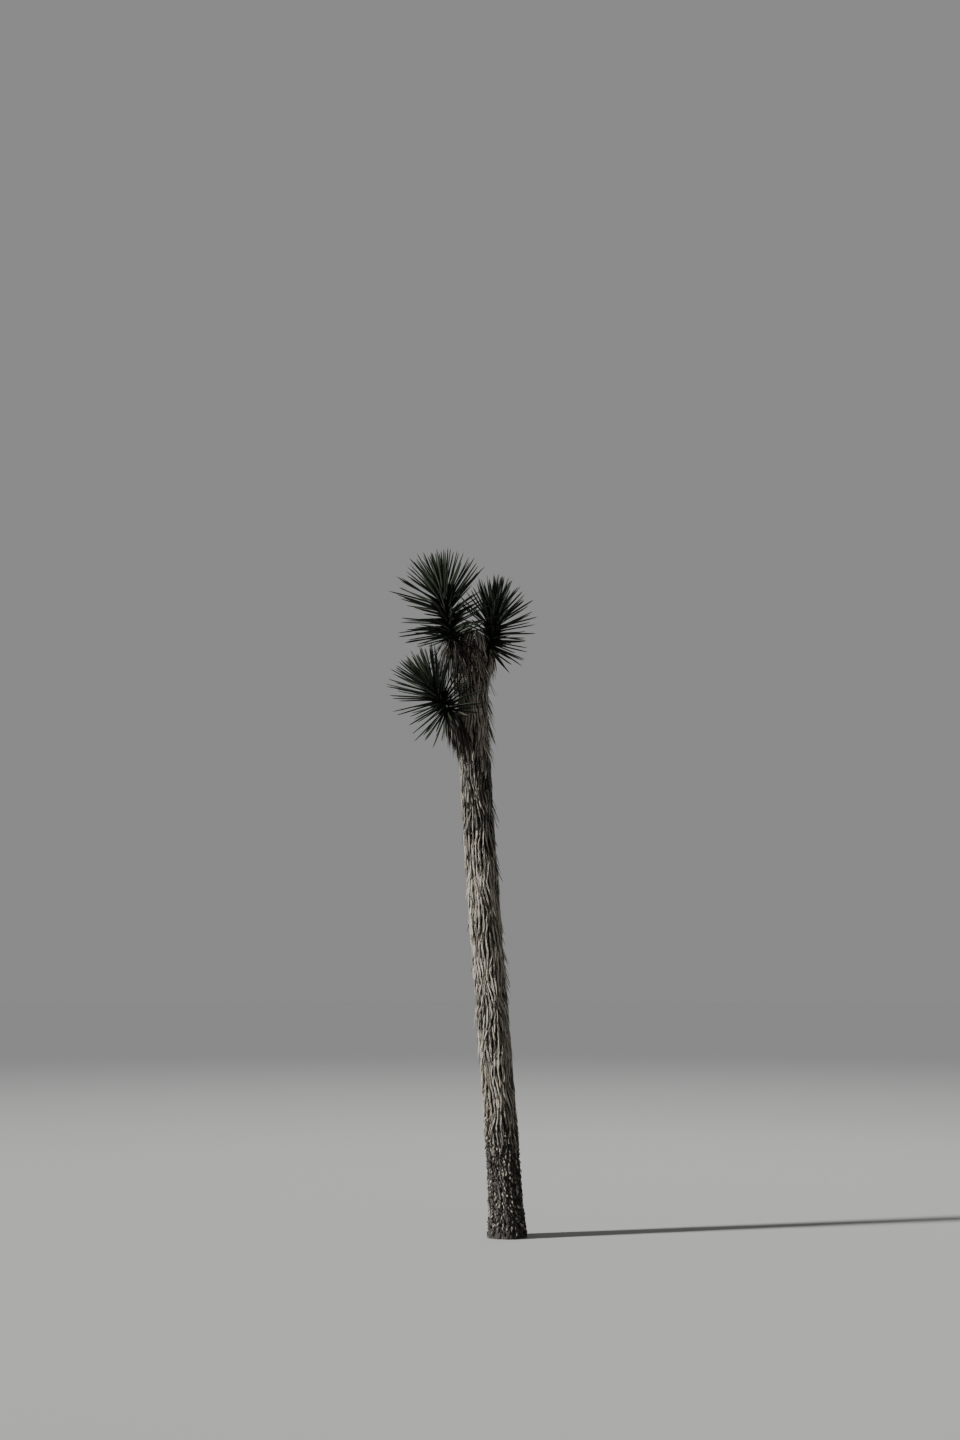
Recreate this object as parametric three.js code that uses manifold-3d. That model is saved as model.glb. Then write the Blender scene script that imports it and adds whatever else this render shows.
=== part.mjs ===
// A young Joshua tree, Yucca brevifolia, with one slim leaning trunk.
// The trunk forks low at its top into two short boughs, and a third, the side arm, leaves it below the fork.
// Each bough ends in a rosette of stiff dagger leaves.
// Dead leaves hang against trunk and boughs as a shaggy thatch.
// Millimetres, +Z up. The origin is the centre of the flat cut under the trunk, at ground level.
import * as THREE from "three";
import { mergeVertices } from "three/addons/utils/BufferGeometryUtils.js";
import Module from "manifold-3d";

// Gaps between neighbouring pieces.
const SEAT_GAP = 0.3;
const THATCH_GAP = 1;
const LEAF_CLEARANCE = 1;
const MERGE_WITHIN = 1e-3;

// Trunk: a cubic curve from just under the flat cut to the blunt tip between the two upper boughs.
const TRUNK_FOOT = -60;
const TRUNK_TOP = 3255;
const TRUNK_SWAYS = [
  [3, 0],
  [-38, 24],
  [-184, -18],
  [-187, 0],
];
const TRUNK_RADIUS_LOW = 86;
const TRUNK_RADIUS_HIGH = 60;
const FLARE_EXTRA = 20;
const FLARE_FALL = 115;
const TRUNK_DOME = 45;
const TRUNK_DOME_SHARE = 0.55;
const RIDGE_COUNT = 5;
const RIDGE_SHARE_LOW = 0.045;
const RIDGE_SHARE_HIGH = 0.02;
const RIDGE_TWIST = 3;
const PLAIN_FROM = 520;
const TRUNK_SIDES = 18;
const TRUNK_STEPS = 16;

// Strands: the lines, side by side round the trunk, in which its old leaf bases lie.
// Each wave that they wander by has its size in strands, its length and its number of turns round the trunk.
const STRAND_COUNT = 28;
const STRAND_WAVES = [
  { size: 0.45, length: 530, turns: 2 },
  { size: 0.22, length: 240, turns: -5 },
];

// Ribs of the bare foot: every second strand stands out, in blocks of which every second one is lower.
const RIB_VALLEY = 1;
const RIB_CREST = 7;
const RIB_STEP = 3;
const RIB_BLOCK = 48;
const RIB_ROWS = 14;
const RIB_TOP = TRUNK_FOOT + RIB_ROWS * RIB_BLOCK;

// Boughs: each starts inside the trunk, is cut back to its skin, and ends square under its rosette.
const BOUGH_RADIUS_ROOT = 44;
const BOUGH_RADIUS_TIP = 31;
const BOUGH_SIDES = 12;
const BOUGH_STEPS = 7;
const BOUGHS = {
  bough_upper_left: {
    start: [-190, 0, 3105],
    lean: [-232, -22, 3185],
    base: [-298, -52, 3278],
    tip: [-356, -66, 3552],
  },
  bough_upper_right: {
    start: [-186, 0, 3080],
    lean: [-142, 22, 3140],
    base: [-96, 48, 3226],
    tip: [-58, 62, 3456],
  },
  side_arm: {
    start: [-180, -8, 2672],
    lean: [-246, -46, 2722],
    base: [-318, -88, 2862],
    tip: [-418, -117, 3006],
  },
};

// Rosettes: leaves in a golden-angle spiral up a stem, upright at its tip, spread at its foot.
// The leaves of the skirt, at the foot, bend back and are short.
// So are those of a poor season, part of the way up, which leaves a step in the outline.
const GOLDEN_ANGLE = Math.PI * (3 - Math.sqrt(5));
const LEAF_HALF_WIDTH = 9;
const LEAF_HALF_THICK = 4;
const LEAF_ROOT_SHARE = 0.75;
const LEAF_WIDEST_AT = 0.3;
const LEAF_LENGTH_SPREAD = 0.08;
const LEAF_ANGLE_SPREAD = 0.12;
const TIP_LEAF_POWER = 4;
const SEASON_WIDTH = 0.1;
const TILT_AT_TIP = 7;
const TILT_SPREAD = 8;
const STEM_TIP_RADIUS = 17;
const STEM_SIDES = 10;
const STEM_STEPS = 4;
const ROOT_INSET = 0.3;
const FOOT_SHARE = 0.06;
const ROSETTES = {
  rosette_upper_left: {
    bough: "bough_upper_left",
    leaves: 130,
    leafLength: 336,
    tipLength: 200,
    seasonAt: 0.485,
    seasonLoss: 0.4,
    tiltAtFoot: 82,
    tiltPower: 2.2,
    skirtTilt: 6,
    skirtShare: 0.3,
    skirtLoss: 0.24,
    seed: 11,
    turn: 0.4,
  },
  rosette_upper_right: {
    bough: "bough_upper_right",
    leaves: 112,
    leafLength: 256,
    tipLength: 190,
    seasonAt: 0.3,
    seasonLoss: 0.28,
    tiltAtFoot: 105,
    tiltPower: 1.2,
    skirtTilt: 28,
    skirtShare: 0.08,
    skirtLoss: 0.4,
    seed: 23,
    turn: 1.9,
  },
  rosette_side_arm: {
    bough: "side_arm",
    leaves: 108,
    leafLength: 320,
    tipLength: 180,
    seasonAt: 0.33,
    seasonLoss: 0.25,
    tiltAtFoot: 98,
    tiltPower: 1,
    skirtTilt: 30,
    skirtShare: 0.3,
    skirtLoss: 0.36,
    seed: 37,
    turn: 3.1,
  },
};

// Thatch: sleeves of dead leaves that hang tips down, in tiers that widen downwards.
const THATCH_RADIUS = 89;
const THATCH_LEAST = 8;
const THATCH_STEPS_PER_TIER = 2;
const TIER_HEIGHT = 150;
const TIER_STEP_OUT = 8;
const DEAD_HALF_WIDTH = 11;
const DEAD_HALF_THICK = 4;
const DEAD_ROOT_DEPTH = 9;
const DEAD_FLARE_SPREAD = 5;
const DEAD_ANGLE_SPREAD = 0.2;
const TRUNK_THATCHES = {
  thatch_lower: { from: 675, to: 1424, leaves: 37, leafLength: 150, flare: 8, seed: 5 },
  thatch_middle: { from: 1426, to: 2249, leaves: 39, leafLength: 175, flare: 9, seed: 6 },
  thatch_upper: { from: 2251, to: 3090, leaves: 42, leafLength: 215, flare: 13, seed: 7 },
};

// Thatch of the fork: a cap over the trunk's tip and a collar round each upper bough.
// The side arm has a collar too.
const CAP_FROM = 3094;
const CAP_FOOT = 3070;
const CAP_TOP = 3345;
const CAP_RADIUS_HIGH = 66;
const CAP_DOME_FROM = 0.72;
const CAP_LEAVES = 16;
const CAP_STEPS = 8;
const COLLAR_COVER = 17;
const COLLAR_FROM = 0.12;
const COLLAR_TO = 0.78;
const COLLAR_STEPS = 5;
const COLLAR_LEAVES = 14;
const COLLAR_LEAF_LENGTH = 200;
const COLLAR_FLARE = 22;

const COLOURS = {
  bark: { color: 0x5d554b, roughness: 0.95, metalness: 0 },
  dead_leaf: { color: 0x8a8174, roughness: 0.9, metalness: 0 },
  live_leaf: { color: 0x4a5440, roughness: 0.6, metalness: 0 },
};

const wasm = await Module();
wasm.setup();

// A repeatable stream of numbers from 0 to 1.
class Stream {
  static MODULUS = 2147483647;
  static FACTOR = 16807;

  constructor(seed) {
    this.state = seed * 7919 + 13;
  }

  next() {
    this.state = (this.state * Stream.FACTOR) % Stream.MODULUS;
    return this.state / Stream.MODULUS;
  }

  // A number from minus size to size.
  spread(size) {
    return (2 * this.next() - 1) * size;
  }
}

const vector = (point) => new THREE.Vector3(...point);
const blend = (from, to, share) => from + (to - from) * share;

// A stretch of a curve, as a curve of its own.
class Stretch extends THREE.Curve {
  constructor(curve, from, to) {
    super();
    Object.assign(this, { curve, from, to });
  }

  getPoint(share, target = new THREE.Vector3()) {
    return this.curve.getPoint(blend(this.from, this.to, share), target);
  }
}

// A stretch of a curve made longer by a margin at both ends.
function longerStretch(curve, from, to, margin) {
  const extra = margin / curve.getLength();
  return new Stretch(curve, from - extra, to + extra);
}

// A closed geometry as a solid that can be joined and cut.
function solidOf(geometry) {
  const bare = geometry.clone();
  bare.deleteAttribute("normal");
  bare.deleteAttribute("uv");
  const merged = mergeVertices(bare, MERGE_WITHIN);
  return new wasm.Manifold(
    new wasm.Mesh({
      numProp: 3,
      vertProperties: merged.attributes.position.array,
      triVerts: new Uint32Array(merged.index.array),
    }),
  );
}

// A solid as a geometry that three.js can draw.
function geometryOf(solid) {
  const mesh = solid.getMesh();
  const geometry = new THREE.BufferGeometry();
  geometry.setAttribute("position", new THREE.BufferAttribute(new Float32Array(mesh.vertProperties), 3));
  geometry.setIndex(new THREE.BufferAttribute(new Uint32Array(mesh.triVerts), 1));
  geometry.computeVertexNormals();
  return geometry;
}

// The largest closed surface of a solid: sealed hollows are filled and loose scraps are dropped.
function oneBody(solid) {
  const pieces = solidOf(geometryOf(solid)).decompose();
  const largest = pieces.reduce((best, piece) => (piece.volume() > best.volume() ? piece : best));
  return pieces.length === 1 ? largest : oneBody(largest);
}

const without = (solid, spaces) => spaces.reduce((rest, space) => rest.subtract(space), solid);

// The way along a curve at a share of it, and two directions square to it.
function frameAt(curve, share) {
  const along = curve.getTangent(share);
  const side = new THREE.Vector3(1, 0, 0).addScaledVector(along, -along.x).normalize();
  const back = new THREE.Vector3().crossVectors(along, side);
  return { centre: curve.getPoint(share), along, side, back };
}

// The direction square to a curve at an angle round it, towards the viewer at 0.
const outwards = ({ side, back }, angle) =>
  side.clone().multiplyScalar(Math.sin(angle)).addScaledVector(back, -Math.cos(angle));

// A unit cylinder bent along a curve, with its radius given by share of length and angle.
// Its columns of points may wander: their angle is then given by share of length and their even angle.
function limbSolid(curve, radiusAt, sides, steps, angleAt = (share, angle) => angle) {
  const geometry = new THREE.CylinderGeometry(1, 1, 1, sides, steps);
  const places = geometry.attributes.position;
  for (let i = 0; i < places.count; i++) {
    const share = places.getY(i) + 0.5;
    const reach = Math.hypot(places.getX(i), places.getZ(i));
    const angle = Math.atan2(places.getX(i), places.getZ(i));
    const frame = frameAt(curve, share);
    const out = outwards(frame, angleAt(share, angle));
    const point = frame.centre.addScaledVector(out, reach * radiusAt(share, angle));
    places.setXYZ(i, point.x, point.y, point.z);
  }
  return solidOf(geometry);
}

// The curve's points are evenly spaced in height, so a share of the curve is a share of the height.
const trunkCurve = new THREE.CubicBezierCurve3(
  ...TRUNK_SWAYS.map(([x, y], i) => new THREE.Vector3(x, y, blend(TRUNK_FOOT, TRUNK_TOP, i / 3))),
);
const trunkShare = (height) => (height - TRUNK_FOOT) / (TRUNK_TOP - TRUNK_FOOT);
const trunkHeight = (share) => blend(TRUNK_FOOT, TRUNK_TOP, share);

// A stretch of the trunk's curve between two heights, made longer by a margin at both ends.
function trunkStretch(from, to, margin) {
  return longerStretch(trunkCurve, trunkShare(from), trunkShare(to), margin);
}

// The trunk's radius: an even taper, the flare at the foot, shallow ridges and a domed tip.
function trunkRadius(height, angle) {
  const share = height / TRUNK_TOP;
  const taper = blend(TRUNK_RADIUS_LOW, TRUNK_RADIUS_HIGH, share);
  const flare = FLARE_EXTRA * Math.exp(-height / FLARE_FALL);
  const ridgeShare = blend(RIDGE_SHARE_LOW, RIDGE_SHARE_HIGH, share);
  const ridge = 1 + ridgeShare * Math.sin(RIDGE_COUNT * angle + RIDGE_TWIST * share);
  const below = Math.min(1, (TRUNK_TOP - height) / TRUNK_DOME);
  return (taper + flare) * ridge * blend(TRUNK_DOME_SHARE, 1, Math.sqrt(below));
}

// The angle round the trunk at which a strand lies at a height.
function strandAngle(strand, height) {
  const spacing = (2 * Math.PI) / STRAND_COUNT;
  const phase = ({ length, turns }) => (2 * Math.PI * height) / length + turns * spacing * strand;
  const wander = STRAND_WAVES.reduce((sum, wave) => sum + wave.size * Math.sin(phase(wave)), 0);
  return spacing * (strand + wander);
}

// How far a strand of the bare foot stands out from the trunk at a height.
function ribHeight(strand, height) {
  const crest = 0.5 + 0.5 * Math.cos(Math.PI * strand);
  const lower = 0.5 - 0.5 * Math.cos(Math.PI * ((height - TRUNK_FOOT) / RIB_BLOCK + strand / 2));
  return blend(RIB_VALLEY, RIB_CREST - RIB_STEP * lower, crest);
}

// The ribbed foot of the trunk grown by a margin. Each column of its points follows one strand.
function footSolid(margin) {
  const heightAt = (share) => blend(TRUNK_FOOT, RIB_TOP, share);
  const strandAt = (angle) => Math.round((angle * STRAND_COUNT) / (2 * Math.PI));
  const angleAt = (share, angle) => strandAngle(strandAt(angle), heightAt(share));
  const radiusAt = (share, angle) => {
    const rib = ribHeight(strandAt(angle), heightAt(share));
    return trunkRadius(heightAt(share), angleAt(share, angle)) + rib + margin;
  };
  return limbSolid(trunkStretch(TRUNK_FOOT, RIB_TOP, margin), radiusAt, STRAND_COUNT, RIB_ROWS, angleAt);
}

// The trunk grown by a margin all round: the ribbed foot and the plain part above it, cut flat at the ground.
function trunkSolid(margin) {
  const radiusAt = (share, angle) => trunkRadius(blend(PLAIN_FROM, TRUNK_TOP, share), angle) + margin;
  const plain = limbSolid(trunkStretch(PLAIN_FROM, TRUNK_TOP, margin), radiusAt, TRUNK_SIDES, TRUNK_STEPS);
  return plain.add(footSolid(margin)).trimByPlane([0, 0, 1], 0);
}

// A bough's curve arrives at its rosette's foot in the direction of the rosette's stem.
function boughCurve({ start, lean, base, tip }) {
  const foot = vector(base);
  const along = vector(tip).sub(foot).normalize();
  const reach = foot.distanceTo(vector(start)) / 3;
  const before = foot.clone().addScaledVector(along, -reach);
  return new THREE.CubicBezierCurve3(vector(start), vector(lean), before, foot);
}

const boughRadius = (share) => blend(BOUGH_RADIUS_ROOT, BOUGH_RADIUS_TIP, share);

function boughSolid(bough, margin) {
  const curve = longerStretch(boughCurve(bough), 0, 1, margin);
  return limbSolid(curve, (share) => boughRadius(share) + margin, BOUGH_SIDES, BOUGH_STEPS);
}

// A rosette's stem goes straight on from its bough.
const stemCurve = ({ base, tip }) => new THREE.LineCurve3(vector(base), vector(tip));
const stemRadius = (share) => blend(BOUGH_RADIUS_TIP, STEM_TIP_RADIUS, share);

function stemSolid(bough, margin, seat) {
  const curve = stemCurve(bough);
  const longer = longerStretch(curve, seat / curve.getLength(), 1, margin);
  return limbSolid(longer, (share) => stemRadius(share) + margin, STEM_SIDES, STEM_STEPS);
}

// One leaf: a three-sided dagger from its root to its tip, with a keel under it.
function leafSolid({ root, along, across, length, halfWidth, halfThick }) {
  const geometry = new THREE.ConeGeometry(1, 1, 3, 2);
  const places = geometry.attributes.position;
  const keel = new THREE.Vector3().crossVectors(across, along).normalize();
  const levels = [
    { distance: 0, size: LEAF_ROOT_SHARE },
    { distance: LEAF_WIDEST_AT * length, size: 1 },
    { distance: length, size: 0 },
  ];
  for (let i = 0; i < places.count; i++) {
    const { distance, size } = levels[Math.round((places.getY(i) + 0.5) * 2)];
    const onAxis = Math.hypot(places.getX(i), places.getZ(i)) < MERGE_WITHIN;
    const angle = Math.atan2(places.getX(i), places.getZ(i));
    const point = root.clone().addScaledVector(along, distance);
    if (!onAxis) {
      point.addScaledVector(across, halfWidth * size * Math.sin(angle));
      point.addScaledVector(keel, halfThick * size * Math.cos(angle));
    }
    places.setXYZ(i, point.x, point.y, point.z);
  }
  return solidOf(geometry);
}

// The leaves that clear every neighbour, as solids.
function clearLeaves(leaves, neighbours) {
  const isClear = (leaf) => {
    const halfWidth = leaf.halfWidth + LEAF_CLEARANCE;
    const halfThick = leaf.halfThick + LEAF_CLEARANCE;
    const margin = leafSolid({ ...leaf, halfWidth, halfThick });
    return neighbours.every((other) => margin.intersect(other).isEmpty());
  };
  return leaves.filter(isClear).map(leafSolid);
}

// The distance from a point to a rosette's stem.
function distanceToStem(point, { base, tip }) {
  const nearest = new THREE.Vector3();
  new THREE.Line3(vector(base), vector(tip)).closestPointToPoint(point, true, nearest);
  return nearest.distanceTo(point);
}

// The leaves of one rosette, each with its root, direction, width direction and length.
function rosetteLeaves(rosette) {
  const stem = stemCurve(BOUGHS[rosette.bough]);
  const stream = new Stream(rosette.seed);
  const list = [];
  for (let i = 0; i < rosette.leaves; i++) {
    const share = blend(FOOT_SHARE, 1, (i + 0.5) / rosette.leaves);
    const frame = frameAt(stem, share);
    const out = outwards(frame, rosette.turn + i * GOLDEN_ANGLE + stream.spread(LEAF_ANGLE_SPREAD));
    const skirt = Math.exp(-share / rosette.skirtShare);
    const rise = blend(rosette.tiltAtFoot, TILT_AT_TIP, share ** rosette.tiltPower);
    const tilt = THREE.MathUtils.degToRad(rise + rosette.skirtTilt * skirt + stream.spread(TILT_SPREAD));
    const season = 1 - rosette.seasonLoss * Math.exp(-(((share - rosette.seasonAt) / SEASON_WIDTH) ** 2));
    const grown = blend(rosette.leafLength, rosette.tipLength, share ** TIP_LEAF_POWER);
    const full = grown * season * (1 - rosette.skirtLoss * skirt);
    list.push({
      root: frame.centre.addScaledVector(out, ROOT_INSET * stemRadius(share)),
      along: frame.along.clone().multiplyScalar(Math.cos(tilt)).addScaledVector(out, Math.sin(tilt)),
      across: new THREE.Vector3().crossVectors(frame.along, out).normalize(),
      length: full * (1 + stream.spread(LEAF_LENGTH_SPREAD)),
      halfWidth: LEAF_HALF_WIDTH,
      halfThick: LEAF_HALF_THICK,
    });
  }
  return list;
}

// A rosette: its stem with every leaf that keeps to its own space and clears its neighbours.
function rosetteSolid(rosette, neighbours) {
  const own = BOUGHS[rosette.bough];
  const others = Object.values(BOUGHS).filter((bough) => bough !== own);
  const keepsIn = ({ root, along, length }) => {
    const end = root.clone().addScaledVector(along, length);
    return others.every((other) => distanceToStem(end, other) > distanceToStem(end, own));
  };
  const leaves = clearLeaves(rosetteLeaves(rosette).filter(keepsIn), neighbours);
  return oneBody(wasm.Manifold.union([stemSolid(own, 0, SEAT_GAP), ...leaves]));
}

// Dead leaves of one sleeve, rooted in it and hanging back along its curve with their tips held away.
function deadLeaves({ curve, radiusAt, from, to, leaves, leafLength, flare, seed }) {
  const stream = new Stream(seed);
  const list = [];
  for (let i = 0; i < leaves; i++) {
    const share = blend(from, to, (i + 0.5) / leaves);
    const angle = i * GOLDEN_ANGLE + stream.spread(DEAD_ANGLE_SPREAD);
    const frame = frameAt(curve, share);
    const out = outwards(frame, angle);
    const lift = THREE.MathUtils.degToRad(flare + stream.spread(DEAD_FLARE_SPREAD));
    const along = frame.along.clone().multiplyScalar(-Math.cos(lift)).addScaledVector(out, Math.sin(lift));
    list.push({
      root: frame.centre.addScaledVector(out, radiusAt(share, angle) - DEAD_ROOT_DEPTH),
      along,
      across: new THREE.Vector3().crossVectors(out, along).normalize(),
      length: leafLength * (1 + stream.spread(LEAF_LENGTH_SPREAD)),
      halfWidth: DEAD_HALF_WIDTH,
      halfThick: DEAD_HALF_THICK,
    });
  }
  return list;
}

// The sleeves of one mass of thatch grown by a margin, with nothing below the mass's floor.
function sleevesSolid({ sleeves, floor }, margin) {
  const bodies = sleeves.map(({ curve, radiusAt, from, to, sides, steps }) => {
    const grown = (share, angle) => radiusAt(blend(from, to, share), angle) + margin;
    return limbSolid(longerStretch(curve, from, to, margin), grown, sides, steps);
  });
  return wasm.Manifold.union(bodies).trimByPlane([0, 0, 1], floor - margin);
}

// One mass of thatch: sleeves cut clear of the spaces that are taken, with dead leaves clear of its neighbours.
function thatchSolid(mass, taken, neighbours) {
  const leaves = clearLeaves(mass.sleeves.flatMap(deadLeaves), neighbours);
  return oneBody(without(wasm.Manifold.union([sleevesSolid(mass, 0), ...leaves]), taken));
}

// A sleeve's outer radius steps out towards the foot of each tier.
function thatchRadius(height, angle) {
  const down = 1 - ((height / TIER_HEIGHT) % 1);
  return Math.max(THATCH_RADIUS, trunkRadius(height, angle) + THATCH_LEAST) + TIER_STEP_OUT * down;
}

// A sleeve of thatch round a stretch of the trunk.
function trunkSleeve({ from, to, leaves, leafLength, flare, seed }) {
  const tiers = Math.round((to - from) / TIER_HEIGHT);
  return {
    curve: trunkCurve,
    radiusAt: (share, angle) => thatchRadius(trunkHeight(share), angle),
    from: trunkShare(from),
    to: trunkShare(to),
    sides: TRUNK_SIDES,
    steps: tiers * THATCH_STEPS_PER_TIER,
    leaves,
    leafLength,
    flare,
    seed,
  };
}

// The cap of thatch over the trunk's tip, a blunt dome between the two upper boughs.
function capSleeve(seed) {
  const foot = trunkCurve.getPoint(trunkShare(CAP_FOOT));
  const top = new THREE.Vector3(TRUNK_SWAYS[3][0], TRUNK_SWAYS[3][1], CAP_TOP);
  const radiusAt = (share) => {
    const dome = Math.max(0, (share - CAP_DOME_FROM) / (1 - CAP_DOME_FROM));
    return blend(THATCH_RADIUS + TIER_STEP_OUT, CAP_RADIUS_HIGH, share) * Math.sqrt(1 - dome ** 2);
  };
  return {
    curve: new THREE.LineCurve3(foot, top),
    radiusAt,
    from: 0,
    to: 1,
    sides: TRUNK_SIDES,
    steps: CAP_STEPS,
    leaves: CAP_LEAVES,
    leafLength: COLLAR_LEAF_LENGTH,
    flare: COLLAR_FLARE,
    seed,
  };
}

// A collar of thatch round a bough, from the trunk to just under the rosette.
function collarSleeve(bough, seed) {
  return {
    curve: boughCurve(bough),
    radiusAt: (share) => boughRadius(share) + COLLAR_COVER,
    from: COLLAR_FROM,
    to: COLLAR_TO,
    sides: BOUGH_SIDES,
    steps: COLLAR_STEPS,
    leaves: COLLAR_LEAVES,
    leafLength: COLLAR_LEAF_LENGTH,
    flare: COLLAR_FLARE,
    seed,
  };
}

// Every mass of thatch. A mass gives way to those before it in the list.
function thatchMasses() {
  const { bough_upper_left, bough_upper_right, side_arm } = BOUGHS;
  const masses = {
    thatch_side_arm: { sleeves: [collarSleeve(side_arm, 12)], floor: 0 },
    thatch_fork: {
      sleeves: [capSleeve(8), collarSleeve(bough_upper_left, 9), collarSleeve(bough_upper_right, 10)],
      floor: CAP_FROM,
    },
  };
  for (const [name, thatch] of Object.entries(TRUNK_THATCHES)) {
    masses[name] = { sleeves: [trunkSleeve(thatch)], floor: 0 };
  }
  return masses;
}

function finish(name) {
  return new THREE.MeshStandardMaterial({ ...COLOURS[name], side: THREE.FrontSide });
}

// The whole tree, from the ground up.
function joshuaTree() {
  const group = new THREE.Group();
  const bark = finish("bark");
  const deadLeaf = finish("dead_leaf");
  const liveLeaf = finish("live_leaf");
  const solids = [];

  function addNode(name, solid, material) {
    const mesh = new THREE.Mesh(geometryOf(solid), material);
    mesh.name = name;
    group.add(mesh);
    solids.push(solid);
  }

  addNode("trunk", trunkSolid(0), bark);
  const trunkSkin = trunkSolid(SEAT_GAP);
  const boughSpaces = [];
  for (const [name, bough] of Object.entries(BOUGHS)) {
    addNode(name, oneBody(without(boughSolid(bough, 0), [trunkSkin, ...boughSpaces])), bark);
    boughSpaces.push(boughSolid(bough, THATCH_GAP));
  }

  const masses = Object.entries(thatchMasses());
  const sleeveSpaces = masses.map(([, mass]) => sleevesSolid(mass, THATCH_GAP));
  const stemSpaces = Object.values(BOUGHS).map((bough) => stemSolid(bough, THATCH_GAP, 0));
  const limbSpaces = [...boughSpaces, ...stemSpaces];
  const trunkSpace = trunkSolid(THATCH_GAP);
  const thatches = [];
  masses.forEach(([name, mass], i) => {
    const otherSpaces = sleeveSpaces.filter((space, j) => j !== i);
    const taken = [trunkSpace, ...limbSpaces, ...sleeveSpaces.slice(0, i)];
    thatches.push(thatchSolid(mass, taken, [...limbSpaces, ...otherSpaces, ...thatches]));
    addNode(name, thatches[i], deadLeaf);
  });

  for (const [name, rosette] of Object.entries(ROSETTES)) {
    addNode(name, rosetteSolid(rosette, solids), liveLeaf);
  }
  return group;
}

export default joshuaTree();
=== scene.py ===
"""Looks of a young Joshua tree, Yucca brevifolia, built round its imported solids.

One slim leaning trunk forks low at its top into two short boughs, and a side arm leaves it below the fork.
Each bough ends in a rosette of stiff dagger leaves. Dead leaves hang against trunk and boughs as a thatch.
Metres, +Z up. The origin is the centre of the flat cut under the trunk, at ground level.
"""

import logging
import math
from dataclasses import dataclass
from enum import Enum

import bpy
import numpy as np
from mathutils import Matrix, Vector, noise


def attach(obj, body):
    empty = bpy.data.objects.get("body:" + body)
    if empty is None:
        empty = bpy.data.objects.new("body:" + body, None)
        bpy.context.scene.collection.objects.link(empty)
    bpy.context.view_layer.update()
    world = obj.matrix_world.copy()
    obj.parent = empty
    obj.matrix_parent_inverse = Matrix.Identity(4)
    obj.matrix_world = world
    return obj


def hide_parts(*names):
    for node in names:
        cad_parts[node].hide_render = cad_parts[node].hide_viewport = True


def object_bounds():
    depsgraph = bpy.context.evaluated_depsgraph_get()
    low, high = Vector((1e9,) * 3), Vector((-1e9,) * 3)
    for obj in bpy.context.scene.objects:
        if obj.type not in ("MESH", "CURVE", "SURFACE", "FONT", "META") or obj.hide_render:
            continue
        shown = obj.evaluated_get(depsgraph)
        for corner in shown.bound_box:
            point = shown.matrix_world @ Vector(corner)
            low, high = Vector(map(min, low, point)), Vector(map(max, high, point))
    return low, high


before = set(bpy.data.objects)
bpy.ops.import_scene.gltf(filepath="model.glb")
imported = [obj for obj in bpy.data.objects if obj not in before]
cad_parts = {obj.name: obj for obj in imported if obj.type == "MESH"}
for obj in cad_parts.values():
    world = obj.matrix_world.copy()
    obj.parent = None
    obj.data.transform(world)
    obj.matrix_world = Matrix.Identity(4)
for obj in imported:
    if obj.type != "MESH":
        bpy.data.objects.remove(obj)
CAD_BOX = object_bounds()

LOG = logging.getLogger("joshua_tree")
BODY = "root"

Point = tuple[float, float, float]
Colour = tuple[float, float, float]

GOLDEN_ANGLE = math.pi * (3 - math.sqrt(5))
GOLDEN_SHARE = GOLDEN_ANGLE / (2 * math.pi)
RIGHT = np.array([1.0, 0.0, 0.0])
DOWN = np.array([0.0, 0.0, -1.0])


class Slot(Enum):
    """The record's material slots."""

    BARK = "bark"
    DEAD_LEAF = "dead_leaf"
    LIVE_LEAF = "live_leaf"


def blend(start: float, end: float, share: np.ndarray | float) -> np.ndarray | float:
    """Go from one value to another by a share of the way."""
    return start + (end - start) * share


def unit(vectors: np.ndarray) -> np.ndarray:
    """Give each vector a length of one."""
    return vectors / np.linalg.norm(vectors, axis=-1, keepdims=True)


class Stream:
    """A repeatable stream of numbers."""

    MODULUS = 2147483647
    FACTOR = 16807
    SEED_STEP = 7919
    SEED_START = 13

    def __init__(self, seed: int) -> None:
        """Start the stream that a seed names."""
        self.state = seed * self.SEED_STEP + self.SEED_START

    def shares(self, count: int) -> np.ndarray:
        """Draw numbers from 0 to 1.

        Args:
            count: How many numbers to draw.

        Returns:
            The numbers in the order drawn.
        """
        drawn = []
        for _ in range(count):
            self.state = self.state * self.FACTOR % self.MODULUS
            drawn.append(self.state / self.MODULUS)
        return np.array(drawn)

    def spread(self, size: float, count: int) -> np.ndarray:
        """Draw a count of numbers from minus size to size, in the order drawn."""
        return (2 * self.shares(count) - 1) * size


@dataclass(frozen=True)
class Places:
    """Places along a curve, each with the way along and two directions square to it."""

    centre: np.ndarray
    along: np.ndarray
    side: np.ndarray
    back: np.ndarray

    def outwards(self, angle: np.ndarray) -> np.ndarray:
        """Point square to the curve at angles round it, towards the viewer at 0."""
        return self.side * np.sin(angle)[:, None] - self.back * np.cos(angle)[:, None]


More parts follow.
